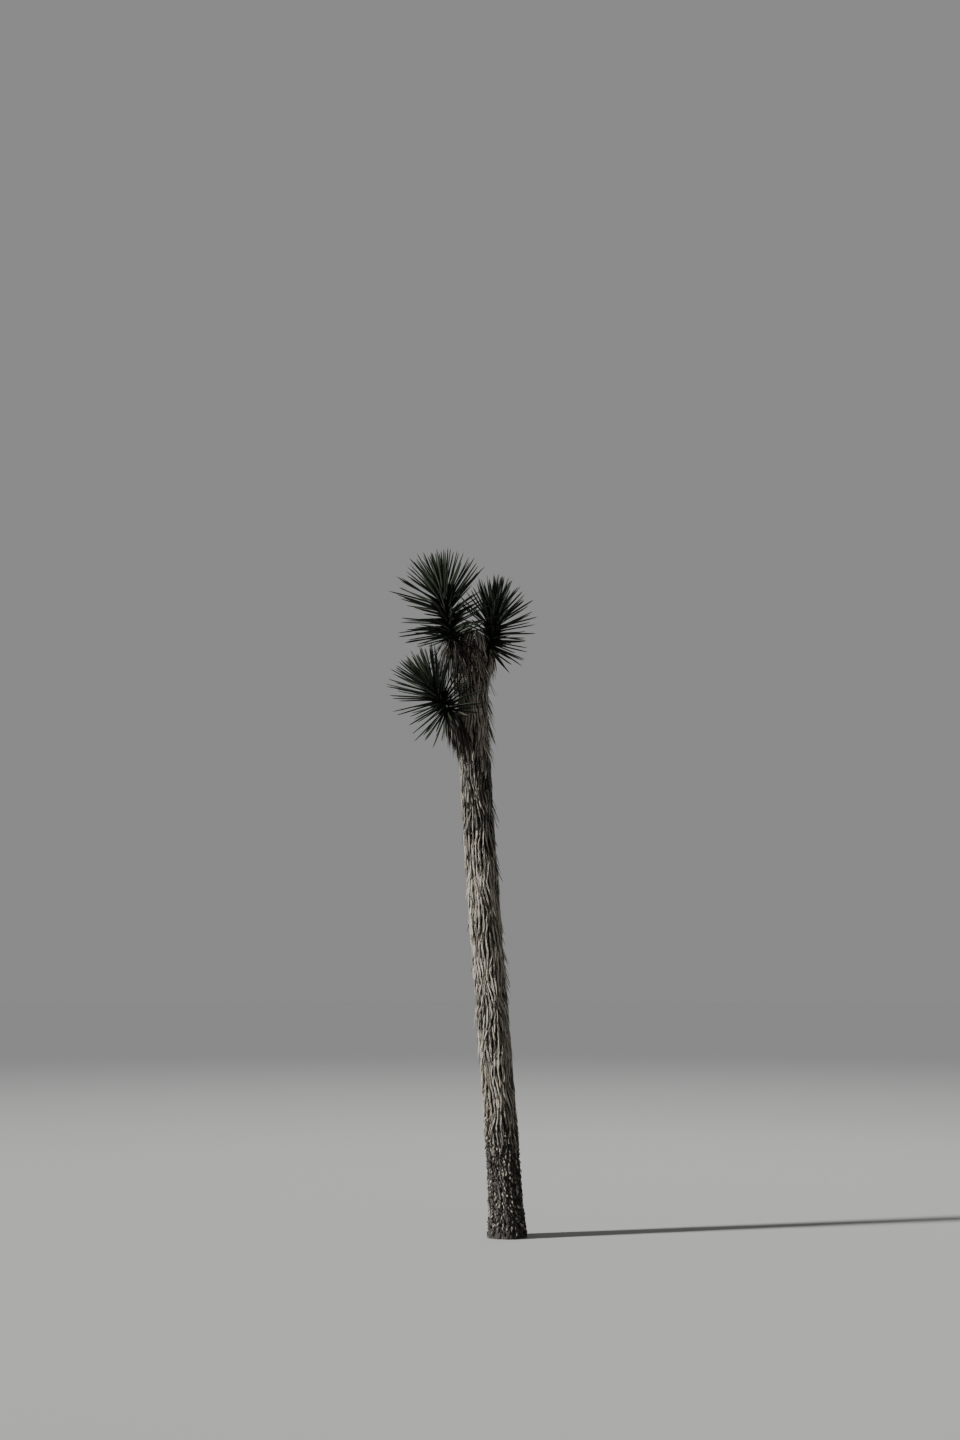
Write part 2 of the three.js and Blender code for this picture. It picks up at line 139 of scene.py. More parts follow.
class Curve:
    """A cubic curve through space, given by four control points."""

    def __init__(self, points: list[Point] | np.ndarray) -> None:
        """Keep the four control points."""
        self.points = np.array(points, float)

    @classmethod
    def straight(cls, start: Point, end: Point) -> "Curve":
        """Make a straight curve from one point to another."""
        shares = np.linspace(0, 1, 4)[:, None]
        return cls(blend(np.array(start), np.array(end), shares))

    def at(self, share: np.ndarray) -> Places:
        """Find places along the curve.

        Args:
            share: The share of the curve at each place. It may pass either end a little.

        Returns:
            The places with their directions.
        """
        u = np.asarray(share, float)[:, None]
        v = 1 - u
        first, second, third, last = self.points
        centre = v**3 * first + 3 * v**2 * u * second + 3 * v * u**2 * third + u**3 * last
        along = unit(v**2 * (second - first) + 2 * v * u * (third - second) + u**2 * (last - third))
        side = unit(RIGHT - along * along[:, :1])
        return Places(centre, along, side, np.cross(along, side))


class Wire:
    """A value inside one material, for sums written as Python expressions."""

    def __init__(self, shader: "Shader", socket: bpy.types.NodeSocket) -> None:
        """Wrap an output socket of one of the shader's nodes."""
        self.shader = shader
        self.socket = socket

    def math(self, operation: str, first: "Wire | float", second: "Wire | float") -> "Wire":
        """Add the Math node of one operation."""
        sockets = {"Value": first, "Value_001": second}
        return self.shader.node("ShaderNodeMath", {"operation": operation}, sockets)

    def __add__(self, other: "Wire | float") -> "Wire":
        """Add a value."""
        return self.math("ADD", self, other)

    __radd__ = __add__

    def __sub__(self, other: "Wire | float") -> "Wire":
        """Take a value away."""
        return self.math("SUBTRACT", self, other)

    def __rsub__(self, other: "Wire | float") -> "Wire":
        """Take this from a value."""
        return self.math("SUBTRACT", other, self)

    def __mul__(self, other: "Wire | float") -> "Wire":
        """Multiply by a value."""
        return self.math("MULTIPLY", self, other)

    __rmul__ = __mul__


class Shader:
    """One material, with its nodes added by short calls."""

    NOISE_MIDDLE = 0.5

    def __init__(self, name: str) -> None:
        """Make a material with a plain surface shader.

        Args:
            name: The material's name.
        """
        self.material = bpy.data.materials.new(name)
        self.material.use_nodes = True
        self.tree = self.material.node_tree
        self.surface = self.tree.nodes["Principled BSDF"]

    def node(
        self, kind: str, settings: dict[str, object], sockets: dict[str, object], output: str = ""
    ) -> Wire:
        """Add one node.

        Args:
            kind: The node's type.
            settings: Its settings, with a ramp's stops under "stops".
            sockets: A value or a wire for each input, by the input's identifier.
            output: The output's identifier, or nothing for the first one.

        Returns:
            The chosen output.
        """
        made = self.tree.nodes.new(kind)
        for key, value in settings.items():
            if key == "stops":
                self.set_stops(made.color_ramp, value)
            else:
                setattr(made, key, value)
        for socket in made.inputs:
            if socket.identifier in sockets:
                self.feed(socket, sockets[socket.identifier])
        found = [socket for socket in made.outputs if output in ("", socket.identifier)]
        return Wire(self, found[0])

    @staticmethod
    def set_stops(ramp: bpy.types.ColorRamp, stops: list[tuple[float, Colour]]) -> None:
        """Give a colour ramp its stops.

        Args:
            ramp: The ramp.
            stops: The position and the colour of each stop.
        """
        while len(ramp.elements) < len(stops):
            ramp.elements.new(1)
        for element, (position, colour) in zip(ramp.elements, stops):
            element.position = position
            element.color = (*colour, 1)

    def feed(self, socket: bpy.types.NodeSocket, value: object) -> None:
        """Link a wire to an input, or set the input's own value.

        Args:
            socket: The input.
            value: A wire, or the value to set.
        """
        if isinstance(value, Wire):
            self.tree.links.new(value.socket, socket)
        else:
            socket.default_value = value

    def place(self, stretch: Point) -> Wire:
        """Give the place on the piece, in metres, scaled along each axis.

        Args:
            stretch: The scale along each axis.

        Returns:
            The scaled place.
        """
        place = self.node("ShaderNodeTexCoord", {}, {}, "Object")
        sockets = {"Vector": place, "Vector_001": stretch}
        return self.node("ShaderNodeVectorMath", {"operation": "MULTIPLY"}, sockets)

    def noise(self, place: Wire, scale: float, detail: float) -> Wire:
        """Add a noise pattern of values from 0 to 1, which lie evenly about their middle."""
        sockets = {"Vector": place, "Scale": scale, "Detail": detail}
        return self.node("ShaderNodeTexNoise", {}, sockets, "Fac")

    def mix(self, share: Wire | float, first: Wire | tuple, second: Wire | tuple) -> Wire:
        """Mix two colours by a share."""
        sockets = {"Factor_Float": share, "A_Color": first, "B_Color": second}
        return self.node("ShaderNodeMix", {"data_type": "RGBA"}, sockets, "Result_Color")

    def relief(self, height: Wire, strength: float, distance: float) -> None:
        """Let a height pattern bump the surface."""
        sockets = {"Height": height, "Strength": strength, "Distance": distance}
        self.dress("Normal", self.node("ShaderNodeBump", {}, sockets))

    def dress(self, socket: str, value: object) -> None:
        """Set or link one input of the surface shader."""
        self.feed(self.surface.inputs[socket], value)


@dataclass(frozen=True)
class LeafFinish:
    """The finish of a leaf, living or dead: one plain colour with fine fibres in its gloss and relief."""

    name: str
    colour: Colour
    roughness: float
    fibre_strength: float
    gloss: float = 0.10
    fibre_scale: float = 900.0
    fibre_detail: float = 2.0
    fibre_stretch: Point = (1.0, 1.0, 0.06)
    fibre_height: float = 0.0006
    roughness_spread: float = 0.25

    def material(self) -> bpy.types.Material:
        """Make the material.

        Returns:
            The material.
        """
        shader = Shader(self.name)
        fibre = shader.noise(shader.place(self.fibre_stretch), self.fibre_scale, self.fibre_detail)
        shader.dress("Base Color", (*self.colour, 1))
        shader.dress("Roughness", self.roughness + self.roughness_spread * (fibre - Shader.NOISE_MIDDLE))
        shader.dress("Specular IOR Level", self.gloss)
        shader.relief(fibre, self.fibre_strength, self.fibre_height)
        return shader.material


@dataclass(frozen=True)
class BarkFinish:
    """Corky bark: dark furrows, brown blocks with a fibrous grain, and worn grey crests."""

    name: str = "bark"
    furrow: Colour = (0.009, 0.007, 0.006)
    inner: Colour = (0.022, 0.019, 0.015)
    block: Colour = (0.056, 0.049, 0.041)
    crest: Colour = (0.170, 0.154, 0.134)
    levels: tuple[float, ...] = (0.15, 0.42, 0.70, 0.96)
    tone_sizes: Point = (0.9, 0.6, 0.45)
    roughness: float = 0.93
    roughness_spread: float = 0.12
    grain_strength: float = 0.5
    grain_scale: float = 300.0
    grain_detail: float = 4.0
    grain_stretch: Point = (1.0, 1.0, 0.2)
    patch_scale: float = 26.0
    patch_detail: float = 3.0
    patch_stretch: Point = (1.0, 1.0, 0.45)
    grain_height: float = 0.0015

    def material(self) -> bpy.types.Material:
        """Make the material.

        Returns:
            The material.
        """
        shader = Shader(self.name)
        relief = shader.node("ShaderNodeAttribute", {"attribute_name": Limb.RELIEF}, {}, "Fac")
        grain = shader.noise(shader.place(self.grain_stretch), self.grain_scale, self.grain_detail)
        patch = shader.noise(shader.place(self.patch_stretch), self.patch_scale, self.patch_detail)
        of_relief, of_grain, of_patch = self.tone_sizes
        middle = Shader.NOISE_MIDDLE
        tone = of_relief * relief + of_grain * (grain - middle) + of_patch * (patch - middle)
        stops = list(zip(self.levels, (self.furrow, self.inner, self.block, self.crest)))
        colour = shader.node("ShaderNodeValToRGB", {"stops": stops}, {"Fac": tone}, "Color")
        shader.dress("Base Color", colour)
        shader.dress("Roughness", self.roughness + self.roughness_spread * (middle - grain))
        shader.relief(grain, self.grain_strength, self.grain_height)
        return shader.material


class Tint(Enum):
    """The finishes of dead leaves, from the palest to the darkest."""

    BLEACHED = LeafFinish("dead_leaf_bleached", (0.335, 0.308, 0.265), roughness=0.85, fibre_strength=0.5)
    STRAW = LeafFinish("dead_leaf_straw", (0.225, 0.197, 0.156), roughness=0.8, fibre_strength=0.5)
    ASH = LeafFinish("dead_leaf_ash", (0.125, 0.116, 0.103), roughness=0.9, fibre_strength=0.6)
    SLATE = LeafFinish("dead_leaf_slate", (0.052, 0.047, 0.041), roughness=0.9, fibre_strength=0.6)
    UMBER = LeafFinish("dead_leaf_umber", (0.019, 0.016, 0.013), roughness=0.85, fibre_strength=0.5)


class Green(Enum):
    """The finishes of live leaves: three greens, the base darkened as painted shade, and the spine at the
    tip.
    """

    DEEP = LeafFinish("live_leaf_deep", (0.015, 0.021, 0.012), roughness=0.78, fibre_strength=0.12)
    MIDDLE = LeafFinish("live_leaf_middle", (0.023, 0.031, 0.019), roughness=0.76, fibre_strength=0.12)
    GREY = LeafFinish("live_leaf_grey", (0.034, 0.042, 0.029), roughness=0.80, fibre_strength=0.12)
    # The base is near black, far darker than a live leaf's own base: painted shade of the rosette's dense
    # core.
    BASE = LeafFinish("live_leaf_base_painted_shade", (0.016, 0.017, 0.013), roughness=0.8, fibre_strength=0.12)
    SPINE = LeafFinish("live_leaf_spine", (0.030, 0.020, 0.013), roughness=0.75, fibre_strength=0.12)


def dealt(draws: np.ndarray, weights: tuple[float, ...]) -> np.ndarray:
    """Deal out the numbers of finishes by their weights, one for each draw from 0 to 1."""
    levels = np.cumsum(weights) / np.sum(weights)
    return np.minimum(np.searchsorted(levels, draws), len(weights) - 1)


@dataclass(frozen=True)
class Outline:
    """The outline and section of one kind of blade, from its root to its tip.

    The section has four corners: two margins, the fold along the upper side and the keel under it.
    """

    stations: tuple[float, ...]
    widths: tuple[float, ...]
    keel: float
    fold: float

    @property
    def rings(self) -> int:
        """Count the sections before the tip."""
        return len(self.stations) - 1


class Shape(Enum):
    """The kinds of blade on the tree."""

    DAGGER = Outline(
        stations=(0, 0.09, 0.18, 0.32, 0.55, 0.78, 0.93, 1),
        widths=(2.6, 2.4, 1.6, 1.1, 1.02, 0.9, 0.52, 0),
        keel=1.2,
        fold=-0.2,
    )
    DRIED = Outline(
        stations=(0, 0.05, 0.16, 0.3, 0.45, 0.6, 0.78, 0.92, 1),
        widths=(1.6, 1.2, 1, 1, 0.92, 0.8, 0.5, 0.2, 0),
        keel=0.7,
        fold=-0.3,
    )
    BROKEN = Outline(
        stations=(0, 0.06, 0.2, 0.4, 0.6, 0.8, 0.97, 1),
        widths=(1.6, 1.15, 1, 0.95, 0.88, 0.76, 0.5, 0),
        keel=0.7,
        fold=-0.3,
    )
    FIBRE = Outline(
        stations=(0, 0.2, 0.4, 0.6, 0.8, 1),
        widths=(1, 0.95, 0.85, 0.7, 0.5, 0),
        keel=0.8,
        fold=-0.4,
    )
    STUB = Outline(
        stations=(0, 0.15, 0.45, 0.75, 0.92, 1),
        widths=(0.75, 1, 1.05, 0.95, 0.6, 0),
        keel=0.9,
        fold=-0.5,
    )


@dataclass(frozen=True)
class Bend:
    """How each blade of a set bends from its root to its tip.

    It droops under its weight, sways and waves sideways, and twists about itself.
    """

    droop: np.ndarray
    sway: np.ndarray
    wave: np.ndarray
    twist: np.ndarray


@dataclass(frozen=True)
class Blades:
    """Many slim blades of one kind, each bent along its own path."""

    OWN = -1
    CORNERS = 4
    WAVE_STARTS = 40.0

    shape: Shape
    path: np.ndarray
    across: np.ndarray
    half_width: np.ndarray
    twist: np.ndarray
    tint: np.ndarray
    bands: tuple[int, ...] = ()

    @classmethod
    def grown(
        cls,
        shape: Shape,
        root: np.ndarray,
        along: np.ndarray,
        across: np.ndarray,
        length: np.ndarray,
        half_width: np.ndarray,
        bend: Bend,
        tint: np.ndarray,
        bands: tuple[int, ...] = (),
    ) -> "Blades":
        """Grow blades from their roots.

        Args:
            shape: The kind of blade.
            root: Where each blade starts.
            along: The way in which each starts.
            across: The direction of each blade's width.
            length: The length of each.
            half_width: Half the width of each, at its widest.
            bend: How each bends.
            tint: The number of each blade's finish.
            bands: The number of a finish for each stretch between stations, or OWN for the blade's tint.

        Returns:
            The blades.
        """
        t = np.array(shape.value.stations)[None, :, None]
        waves = np.sin(2 * math.pi * t + cls.WAVE_STARTS * bend.twist[:, None, None])
        sideways = bend.sway[:, None, None] * t + bend.wave[:, None, None] * waves
        downwards = DOWN * bend.droop[:, None, None] * t
        heading = unit(along[:, None] + downwards + across[:, None] * sideways)
        steps = (heading[:, 1:] + heading[:, :-1]) / 2 * np.diff(t, axis=1) * length[:, None, None]
        start = np.zeros_like(steps[:, :1])
        path = root[:, None] + np.concatenate([start, np.cumsum(steps, axis=1)], axis=1)
        return cls(shape, path, across, half_width, bend.twist, tint, bands)

    def where(self, keep: np.ndarray) -> "Blades":
        """Keep only the blades that a mask names."""
        parts = (self.path, self.across, self.half_width, self.twist, self.tint)
        return Blades(self.shape, *(part[keep] for part in parts), self.bands)

    def moved(self, path: np.ndarray) -> "Blades":
        """Lay the blades along another path."""
        return Blades(self.shape, path, self.across, self.half_width, self.twist, self.tint, self.bands)

    def points(self) -> np.ndarray:
        """Work out every blade's points.

        Returns:
            For each blade its rings of four corners, then its tip.
        """
        outline = self.shape.value
        heading = unit(np.gradient(self.path, axis=1))
        along_heading = np.sum(self.across[:, None] * heading, axis=2, keepdims=True)
        flat = unit(self.across[:, None] - heading * along_heading)
        turn = self.twist[:, None, None] * np.array(outline.stations)[None, :, None]
        across = flat * np.cos(turn) + np.cross(heading, flat) * np.sin(turn)
        keel = np.cross(across, heading) * outline.keel
        width = (self.half_width[:, None] * np.array(outline.widths)[None, :])[:, :, None]
        offsets = np.stack([across, keel * outline.fold, -across, keel], axis=2) * width[:, :, None]
        corners = (self.path[:, :, None] + offsets)[:, : outline.rings]
        rings = corners.reshape(len(self.path), outline.rings * self.CORNERS, 3)
        return np.concatenate([rings, self.path[:, -1:]], axis=1)

    def faces(self) -> tuple[np.ndarray, np.ndarray, np.ndarray, np.ndarray]:
        """Work out every blade's faces.

        Returns:
            The quads, the triangles at the tips, and the number of a finish for each quad and for each
            triangle.
        """
        rings = self.shape.value.rings
        around = range(self.CORNERS)
        bands = np.array(self.bands or (self.OWN,) * rings)
        quads = [[0, 3, 2, 1]]
        stretch = [0]
        for ring in range(rings - 1):
            for corner in around:
                here = ring * self.CORNERS + corner
                beside = ring * self.CORNERS + (corner + 1) % self.CORNERS
                quads.append([here, beside, beside + self.CORNERS, here + self.CORNERS])
                stretch.append(ring)
        last = (rings - 1) * self.CORNERS
        tips = [[last + i, last + (i + 1) % self.CORNERS, last + self.CORNERS] for i in around]
        starts = np.arange(len(self.path))[:, None, None] * (last + self.CORNERS + 1)
        quad_band = bands[stretch][None, :]
        tip_band = np.repeat(bands[-1:], self.CORNERS)[None, :]
        quad_tint = np.where(quad_band == self.OWN, self.tint[:, None], quad_band)
        tip_tint = np.where(tip_band == self.OWN, self.tint[:, None], tip_band)
        quad_faces = (np.array(quads)[None] + starts).reshape(-1, 4)
        tip_faces = (np.array(tips)[None] + starts).reshape(-1, 3)
        return quad_faces, tip_faces, quad_tint.ravel(), tip_tint.ravel()


def joined_blades(name: str, sets: list[Blades], finishes: list[bpy.types.Material]) -> bpy.types.Object:
    """Join sets of blades into one piece.

    Args:
        name: The piece's name.
        sets: The blades.
        finishes: The materials that the blades' tints number.

    Returns:
        The piece.
    """
    points, quads, triangles, quad_tints, tip_tints = [], [], [], [], []
    start = 0
    for blades in sets:
        corners = blades.points().reshape(-1, 3)
        quad_faces, tip_faces, quad_tint, tip_tint = blades.faces()
        points.append(corners)
        quads.append(quad_faces + start)
        triangles.append(tip_faces + start)
        quad_tints.append(quad_tint)
        tip_tints.append(tip_tint)
        start += len(corners)
    mesh = bpy.data.meshes.new(name)
    faces = np.concatenate(quads).tolist() + np.concatenate(triangles).tolist()
    mesh.from_pydata(np.concatenate(points).tolist(), [], faces)
    mesh.polygons.foreach_set("material_index", np.concatenate(quad_tints + tip_tints).astype(np.int32))
    return new_piece(mesh, finishes)


def new_piece(mesh: bpy.types.Mesh, finishes: list[bpy.types.Material]) -> bpy.types.Object:
    """Put a mesh with its materials into the scene.

    Args:
        mesh: The mesh.
        finishes: Its materials.

    Returns:
        The piece, which has its mesh's name.
    """
    for finish in finishes:
        mesh.materials.append(finish)
    mesh.update()
    piece = bpy.data.objects.new(mesh.name, mesh)
    bpy.context.scene.collection.objects.link(piece)
    return piece


def settle(piece: bpy.types.Object, slot: Slot, *nodes: str) -> None:
    """Let a piece ride on the tree and stand for its nodes.

    Args:
        piece: The piece.
        slot: The slot of its finish. It is not used.
        nodes: The nodes that it stands for.
    """
    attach(piece, BODY)
    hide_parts(*nodes)
    triangles = sum(len(face.vertices) - 2 for face in piece.data.polygons)
    LOG.info("%s: %d triangles", piece.name, triangles)


@dataclass(frozen=True)
class Strands:
    """The wandering strands, side by side round the trunk, in which its dead leaves and leaf bases lie.

    Each wave has its size in strands, its length in metres and its number of turns round the trunk.
    A leaf also follows its strand's own wave, so that neighbours part and meet again.
    """

    count: int = 28
    waves: tuple[tuple[float, float, int], ...] = ((0.45, 0.53, 2), (0.22, 0.24, -5))
    own_sizes: tuple[float, float] = (0.22, 0.09)
    own_lengths: tuple[float, float] = (0.215, 0.118)

    @property
    def spacing(self) -> float:
        """Give the angle from one strand to the next."""
        return 2 * math.pi / self.count

    def wander(self, strand: np.ndarray, height: np.ndarray) -> np.ndarray:
        """Tell how far strands lie aside from their even places, in strands."""
        around = self.spacing * strand
        return sum(
            size * np.sin(2 * math.pi * height / length + turns * around)
            for size, length, turns in self.waves
        )

    def own_wave(self, strand: np.ndarray, height: np.ndarray) -> np.ndarray:
        """Tell how far strands also swing by themselves.

        Args:
            strand: The strands, with fractions.
            height: The height on each.

        Returns:
            The distances, in strands.
        """
        number = np.round(strand)
        swings = zip(self.own_sizes, self.own_lengths, (number, number**2))
        return sum(
            size * np.sin(2 * math.pi * (height / length + phase * GOLDEN_SHARE))
            for size, length, phase in swings
        )

    def angle(self, strand: np.ndarray, height: np.ndarray) -> np.ndarray:
        """Give the angle round the trunk at which strands lie at some heights."""
        return self.spacing * (strand + self.wander(strand, height))

    def strand_at(self, angle: np.ndarray, height: np.ndarray) -> np.ndarray:
        """Tell which strand, with fractions, lies at some angles and heights."""
        even = angle / self.spacing
        return even - self.wander(even - self.wander(even, height), height)


@dataclass(frozen=True)
class Ribs:
    """The ribs of the bare foot: every second strand stands out, in blocks high and low by turns."""

    foot: float = -0.060
    top: float = 0.612
    fade: float = 0.050
    valley: float = 0.001
    crest: float = 0.007
    step: float = 0.003
    block: float = 0.048

    def rise(self, angle: np.ndarray, height: np.ndarray) -> np.ndarray:
        """Tell how far the bark stands out from the trunk.

        Args:
            angle: The angle round the trunk at each point.
            height: The height of each point.

        Returns:
            The distance at each point.
        """
        strand = STRANDS.strand_at(angle, height)
        crest = 0.5 + 0.5 * np.cos(math.pi * strand)
        lower = 0.5 - 0.5 * np.cos(math.pi * ((height - self.foot) / self.block + strand / 2))
        below = np.clip((self.top + self.fade - height) / self.fade, 0, 1)
        return blend(self.valley, self.crest - self.step * lower, crest) * below


STRANDS = Strands()
RIBS = Ribs()


@dataclass(frozen=True)
class Limb:
    """A woody limb along a curve, with the relief of its bark."""

    RELIEF = "relief"
    WARP_SEED = 7
    WARP_SCALE = 55.0
    WARP_SIZE = 0.45
    GRAIN_SCALE = Vector((260, 260, 50))
    LUMP_SCALE = 95.0
    SHARES = (0.62, 0.26, 0.22, 0.12)

    name: str
    block_width: float = 0.014
    block_height: float = 0.026
    furrow_depth: float = 0.008
    furrow_share: float = 0.42
    crest_level: float = 0.7
    sides: int = 72

    def curve(self) -> Curve:
        """Give the line that the limb follows."""
        raise NotImplementedError

    def radius(self, share: np.ndarray, angle: np.ndarray) -> np.ndarray:
        """Give the limb's radius at shares of its length and angles round it."""
        raise NotImplementedError

    def shares(self) -> np.ndarray:
        """Give the shares of the length at which the mesh has a ring."""
        raise NotImplementedError

    def block_relief(self, point: np.ndarray) -> float:
        """Work out how high the blocks of bark stand at a point.

        Args:
            point: A point on the plain limb.

        Returns:
            The height, from 0 in a furrow to 1 on a crest.
        """
        place = Vector(point)
        warp = noise.noise_vector(place * self.WARP_SCALE) * self.WARP_SIZE
        cell = Vector(
            (place.x / self.block_width, place.y / self.block_width, place.z / self.block_height)
        )
        near, second = noise.voronoi(cell + warp)[0][:2]
        block = min(1.0, (second - near) / self.furrow_share)
        grain = noise.noise(place * self.GRAIN_SCALE)
        lump = noise.noise(place * self.LUMP_SCALE)
        block_part, grain_part, lump_part, rest = self.SHARES
        height = block_part * block * (2 - block) + grain_part * grain + lump_part * lump + rest
        return min(1.0, max(0.0, height))

    def relief(self, share: np.ndarray, angle: np.ndarray, plain: np.ndarray) -> np.ndarray:
        """Work out the bark's relief at points of the plain limb, from 0 in a furrow to 1 on a crest."""
        return np.array([self.block_relief(point) for point in plain])

    def sunken(self, points: np.ndarray, outward: np.ndarray, relief: np.ndarray) -> np.ndarray:
        """Sink a limb's points by the bark's relief."""
        return points + outward * ((relief - self.crest_level) * self.furrow_depth)[:, :, None]

    def rings(self) -> tuple[np.ndarray, np.ndarray]:
        """Lay out the limb's rings.

        Returns:
            The rings' points with the bark's relief on them, and the relief at each point.
        """
        shares = self.shares()
        angles = np.linspace(0, 2 * math.pi, self.sides, endpoint=False)
        share, angle = (grid.ravel() for grid in np.meshgrid(shares, angles, indexing="ij"))
        places = self.curve().at(share)
        outward = places.outwards(angle)
        plain = places.centre + outward * self.radius(share, angle)[:, None]
        grid = (len(shares), self.sides)
        relief = self.relief(share, angle, plain).reshape(grid)
        points = self.sunken(plain.reshape(*grid, 3), outward.reshape(*grid, 3), relief)
        return points, relief

    def bark(self, finish: bpy.types.Material) -> bpy.types.Object:
        """Build the limb's bark as one closed mesh.

        Args:
            finish: Its material.

        Returns:
            The piece.
        """
        points, relief = self.rings()
        count = len(points)
        sides = self.sides
        ring, corner = np.meshgrid(np.arange(count - 1), np.arange(sides), indexing="ij")
        here = ring * sides + corner
        beside = ring * sides + (corner + 1) % sides
        quads = np.stack([here, beside, beside + sides, here + sides], axis=2).reshape(-1, 4)
        around = np.arange(sides)
        following = (around + 1) % sides
        foot = count * sides
        top = foot + 1
        foot_fan = np.stack([following, around, np.full(sides, foot)], axis=1)
        last = (count - 1) * sides
        top_fan = np.stack([around + last, following + last, np.full(sides, top)], axis=1)
        ends = [points[0].mean(axis=0), points[-1].mean(axis=0)]
        mesh = bpy.data.meshes.new(self.name + "_bark")
        vertices = points.reshape(-1, 3).tolist() + [end.tolist() for end in ends]
        mesh.from_pydata(vertices, [], quads.tolist() + foot_fan.tolist() + top_fan.tolist())
        mesh.polygons.foreach_set("use_smooth", np.ones(len(mesh.polygons), bool))
        heights = mesh.attributes.new(self.RELIEF, "FLOAT", "POINT")
        heights.data.foreach_set("value", np.append(relief.ravel(), [0, 0]).astype(np.float32))
        return new_piece(mesh, [finish])


@dataclass(frozen=True)
class Trunk(Limb):
    """The trunk: a slow double bend with an even taper, a flare at the foot and a blunt tip."""

    foot: float = -0.060
    top: float = 3.255
    sways: tuple[tuple[float, float], ...] = ((0.003, 0), (-0.038, 0.024), (-0.184, -0.018), (-0.187, 0))
    radius_low: float = 0.086
    radius_high: float = 0.060
    flare_extra: float = 0.020
    flare_fall: float = 0.115
    dome: float = 0.045
    dome_share: float = 0.55
    ridges: int = 5
    ridge_share_low: float = 0.045
    ridge_share_high: float = 0.02
    ridge_twist: float = 3.0
    bare_height: float = 0.78
    fine_step: float = 0.0033
    coarse_steps: int = 75
    sides: int = 256
    valley_share: float = 0.55
    covered_share: float = 0.3
    covered_over: float = 0.1

    def curve(self) -> Curve:
        """Give the trunk's line, whose control points are evenly spaced in height."""
        heights = np.linspace(self.foot, self.top, len(self.sways))
        return Curve([(x, y, z) for (x, y), z in zip(self.sways, heights)])

    def share_of(self, height: np.ndarray | float) -> np.ndarray | float:
        """Turn a height into a share of the trunk's line."""
        return (height - self.foot) / (self.top - self.foot)

    def height_at(self, share: np.ndarray | float) -> np.ndarray | float:
        """Turn a share of the trunk's line into a height."""
        return blend(self.foot, self.top, share)

    def stretch(self, low: float, high: float) -> tuple[float, float]:
        """Turn the heights at which a stretch starts and ends into shares of the trunk's line."""
        return self.share_of(low), self.share_of(high)

    def radius(self, share: np.ndarray, angle: np.ndarray) -> np.ndarray:
        """Give the trunk's radius.

        Args:
            share: The share of the trunk's line at each point.
            angle: The angle round the trunk at each point.

        Returns:
            The radius at each point, with the flare, the ridges, the blunt tip and the ribs of the foot.
        """
        height = self.height_at(share)
        rise = height / self.top
        flare = self.flare_extra * np.exp(-height / self.flare_fall)
        ridge_size = blend(self.ridge_share_low, self.ridge_share_high, rise)
        ridge = 1 + ridge_size * np.sin(self.ridges * angle + self.ridge_twist * rise)
        below = np.clip((self.top - height) / self.dome, 0, 1)
        tip = blend(self.dome_share, 1, np.sqrt(below))
        plain = blend(self.radius_low, self.radius_high, rise) + flare
        return plain * ridge * tip + RIBS.rise(angle, height)

    def shares(self) -> np.ndarray:
        """Give the rings' shares.

        Returns:
            The shares, closer together where the bark is bare.
        """
        bare = np.arange(0, self.bare_height, self.fine_step)
        covered = np.linspace(self.bare_height, self.top, self.coarse_steps)
        return self.share_of(np.concatenate([bare, covered]))

    def relief(self, share: np.ndarray, angle: np.ndarray, plain: np.ndarray) -> np.ndarray:
        """Work out the bark's relief.

        Args:
            share: The share of the trunk's line at each point.
            angle: The angle round the trunk at each point.
            plain: The points on the plain trunk.

        Returns:
            The height at each point, with valleys between the strands, and lower where leaves cover it.
        """
        height = self.height_at(share)
        strand = STRANDS.strand_at(angle, height)
        strands = blend(self.valley_share, 1, np.abs(np.cos(math.pi * strand)))
        covered = np.clip((height - self.bare_height) / self.covered_over + 1, 0, 1)
        return super().relief(share, angle, plain) * strands * blend(1, self.covered_share, covered)

    def sunken(self, points: np.ndarray, outward: np.ndarray, relief: np.ndarray) -> np.ndarray:
        """Sink the trunk's points by the bark's relief.

        Args:
            points: The points on the plain trunk, ring by ring.
            outward: The direction out of the trunk at each.
            relief: The height of the bark at each.

        Returns:
            The points, in level rings near the flat cut, with none below it.
        """
        sunk = super().sunken(points, outward, relief)
        heights = self.height_at(self.shares())[:, None]
        level = np.exp(-heights / self.flare_fall)
        sunk[:, :, 2] = blend(sunk[:, :, 2], heights, level)
        sunk[0, :, 2] = 0
        return np.maximum(sunk, [-np.inf, -np.inf, 0])


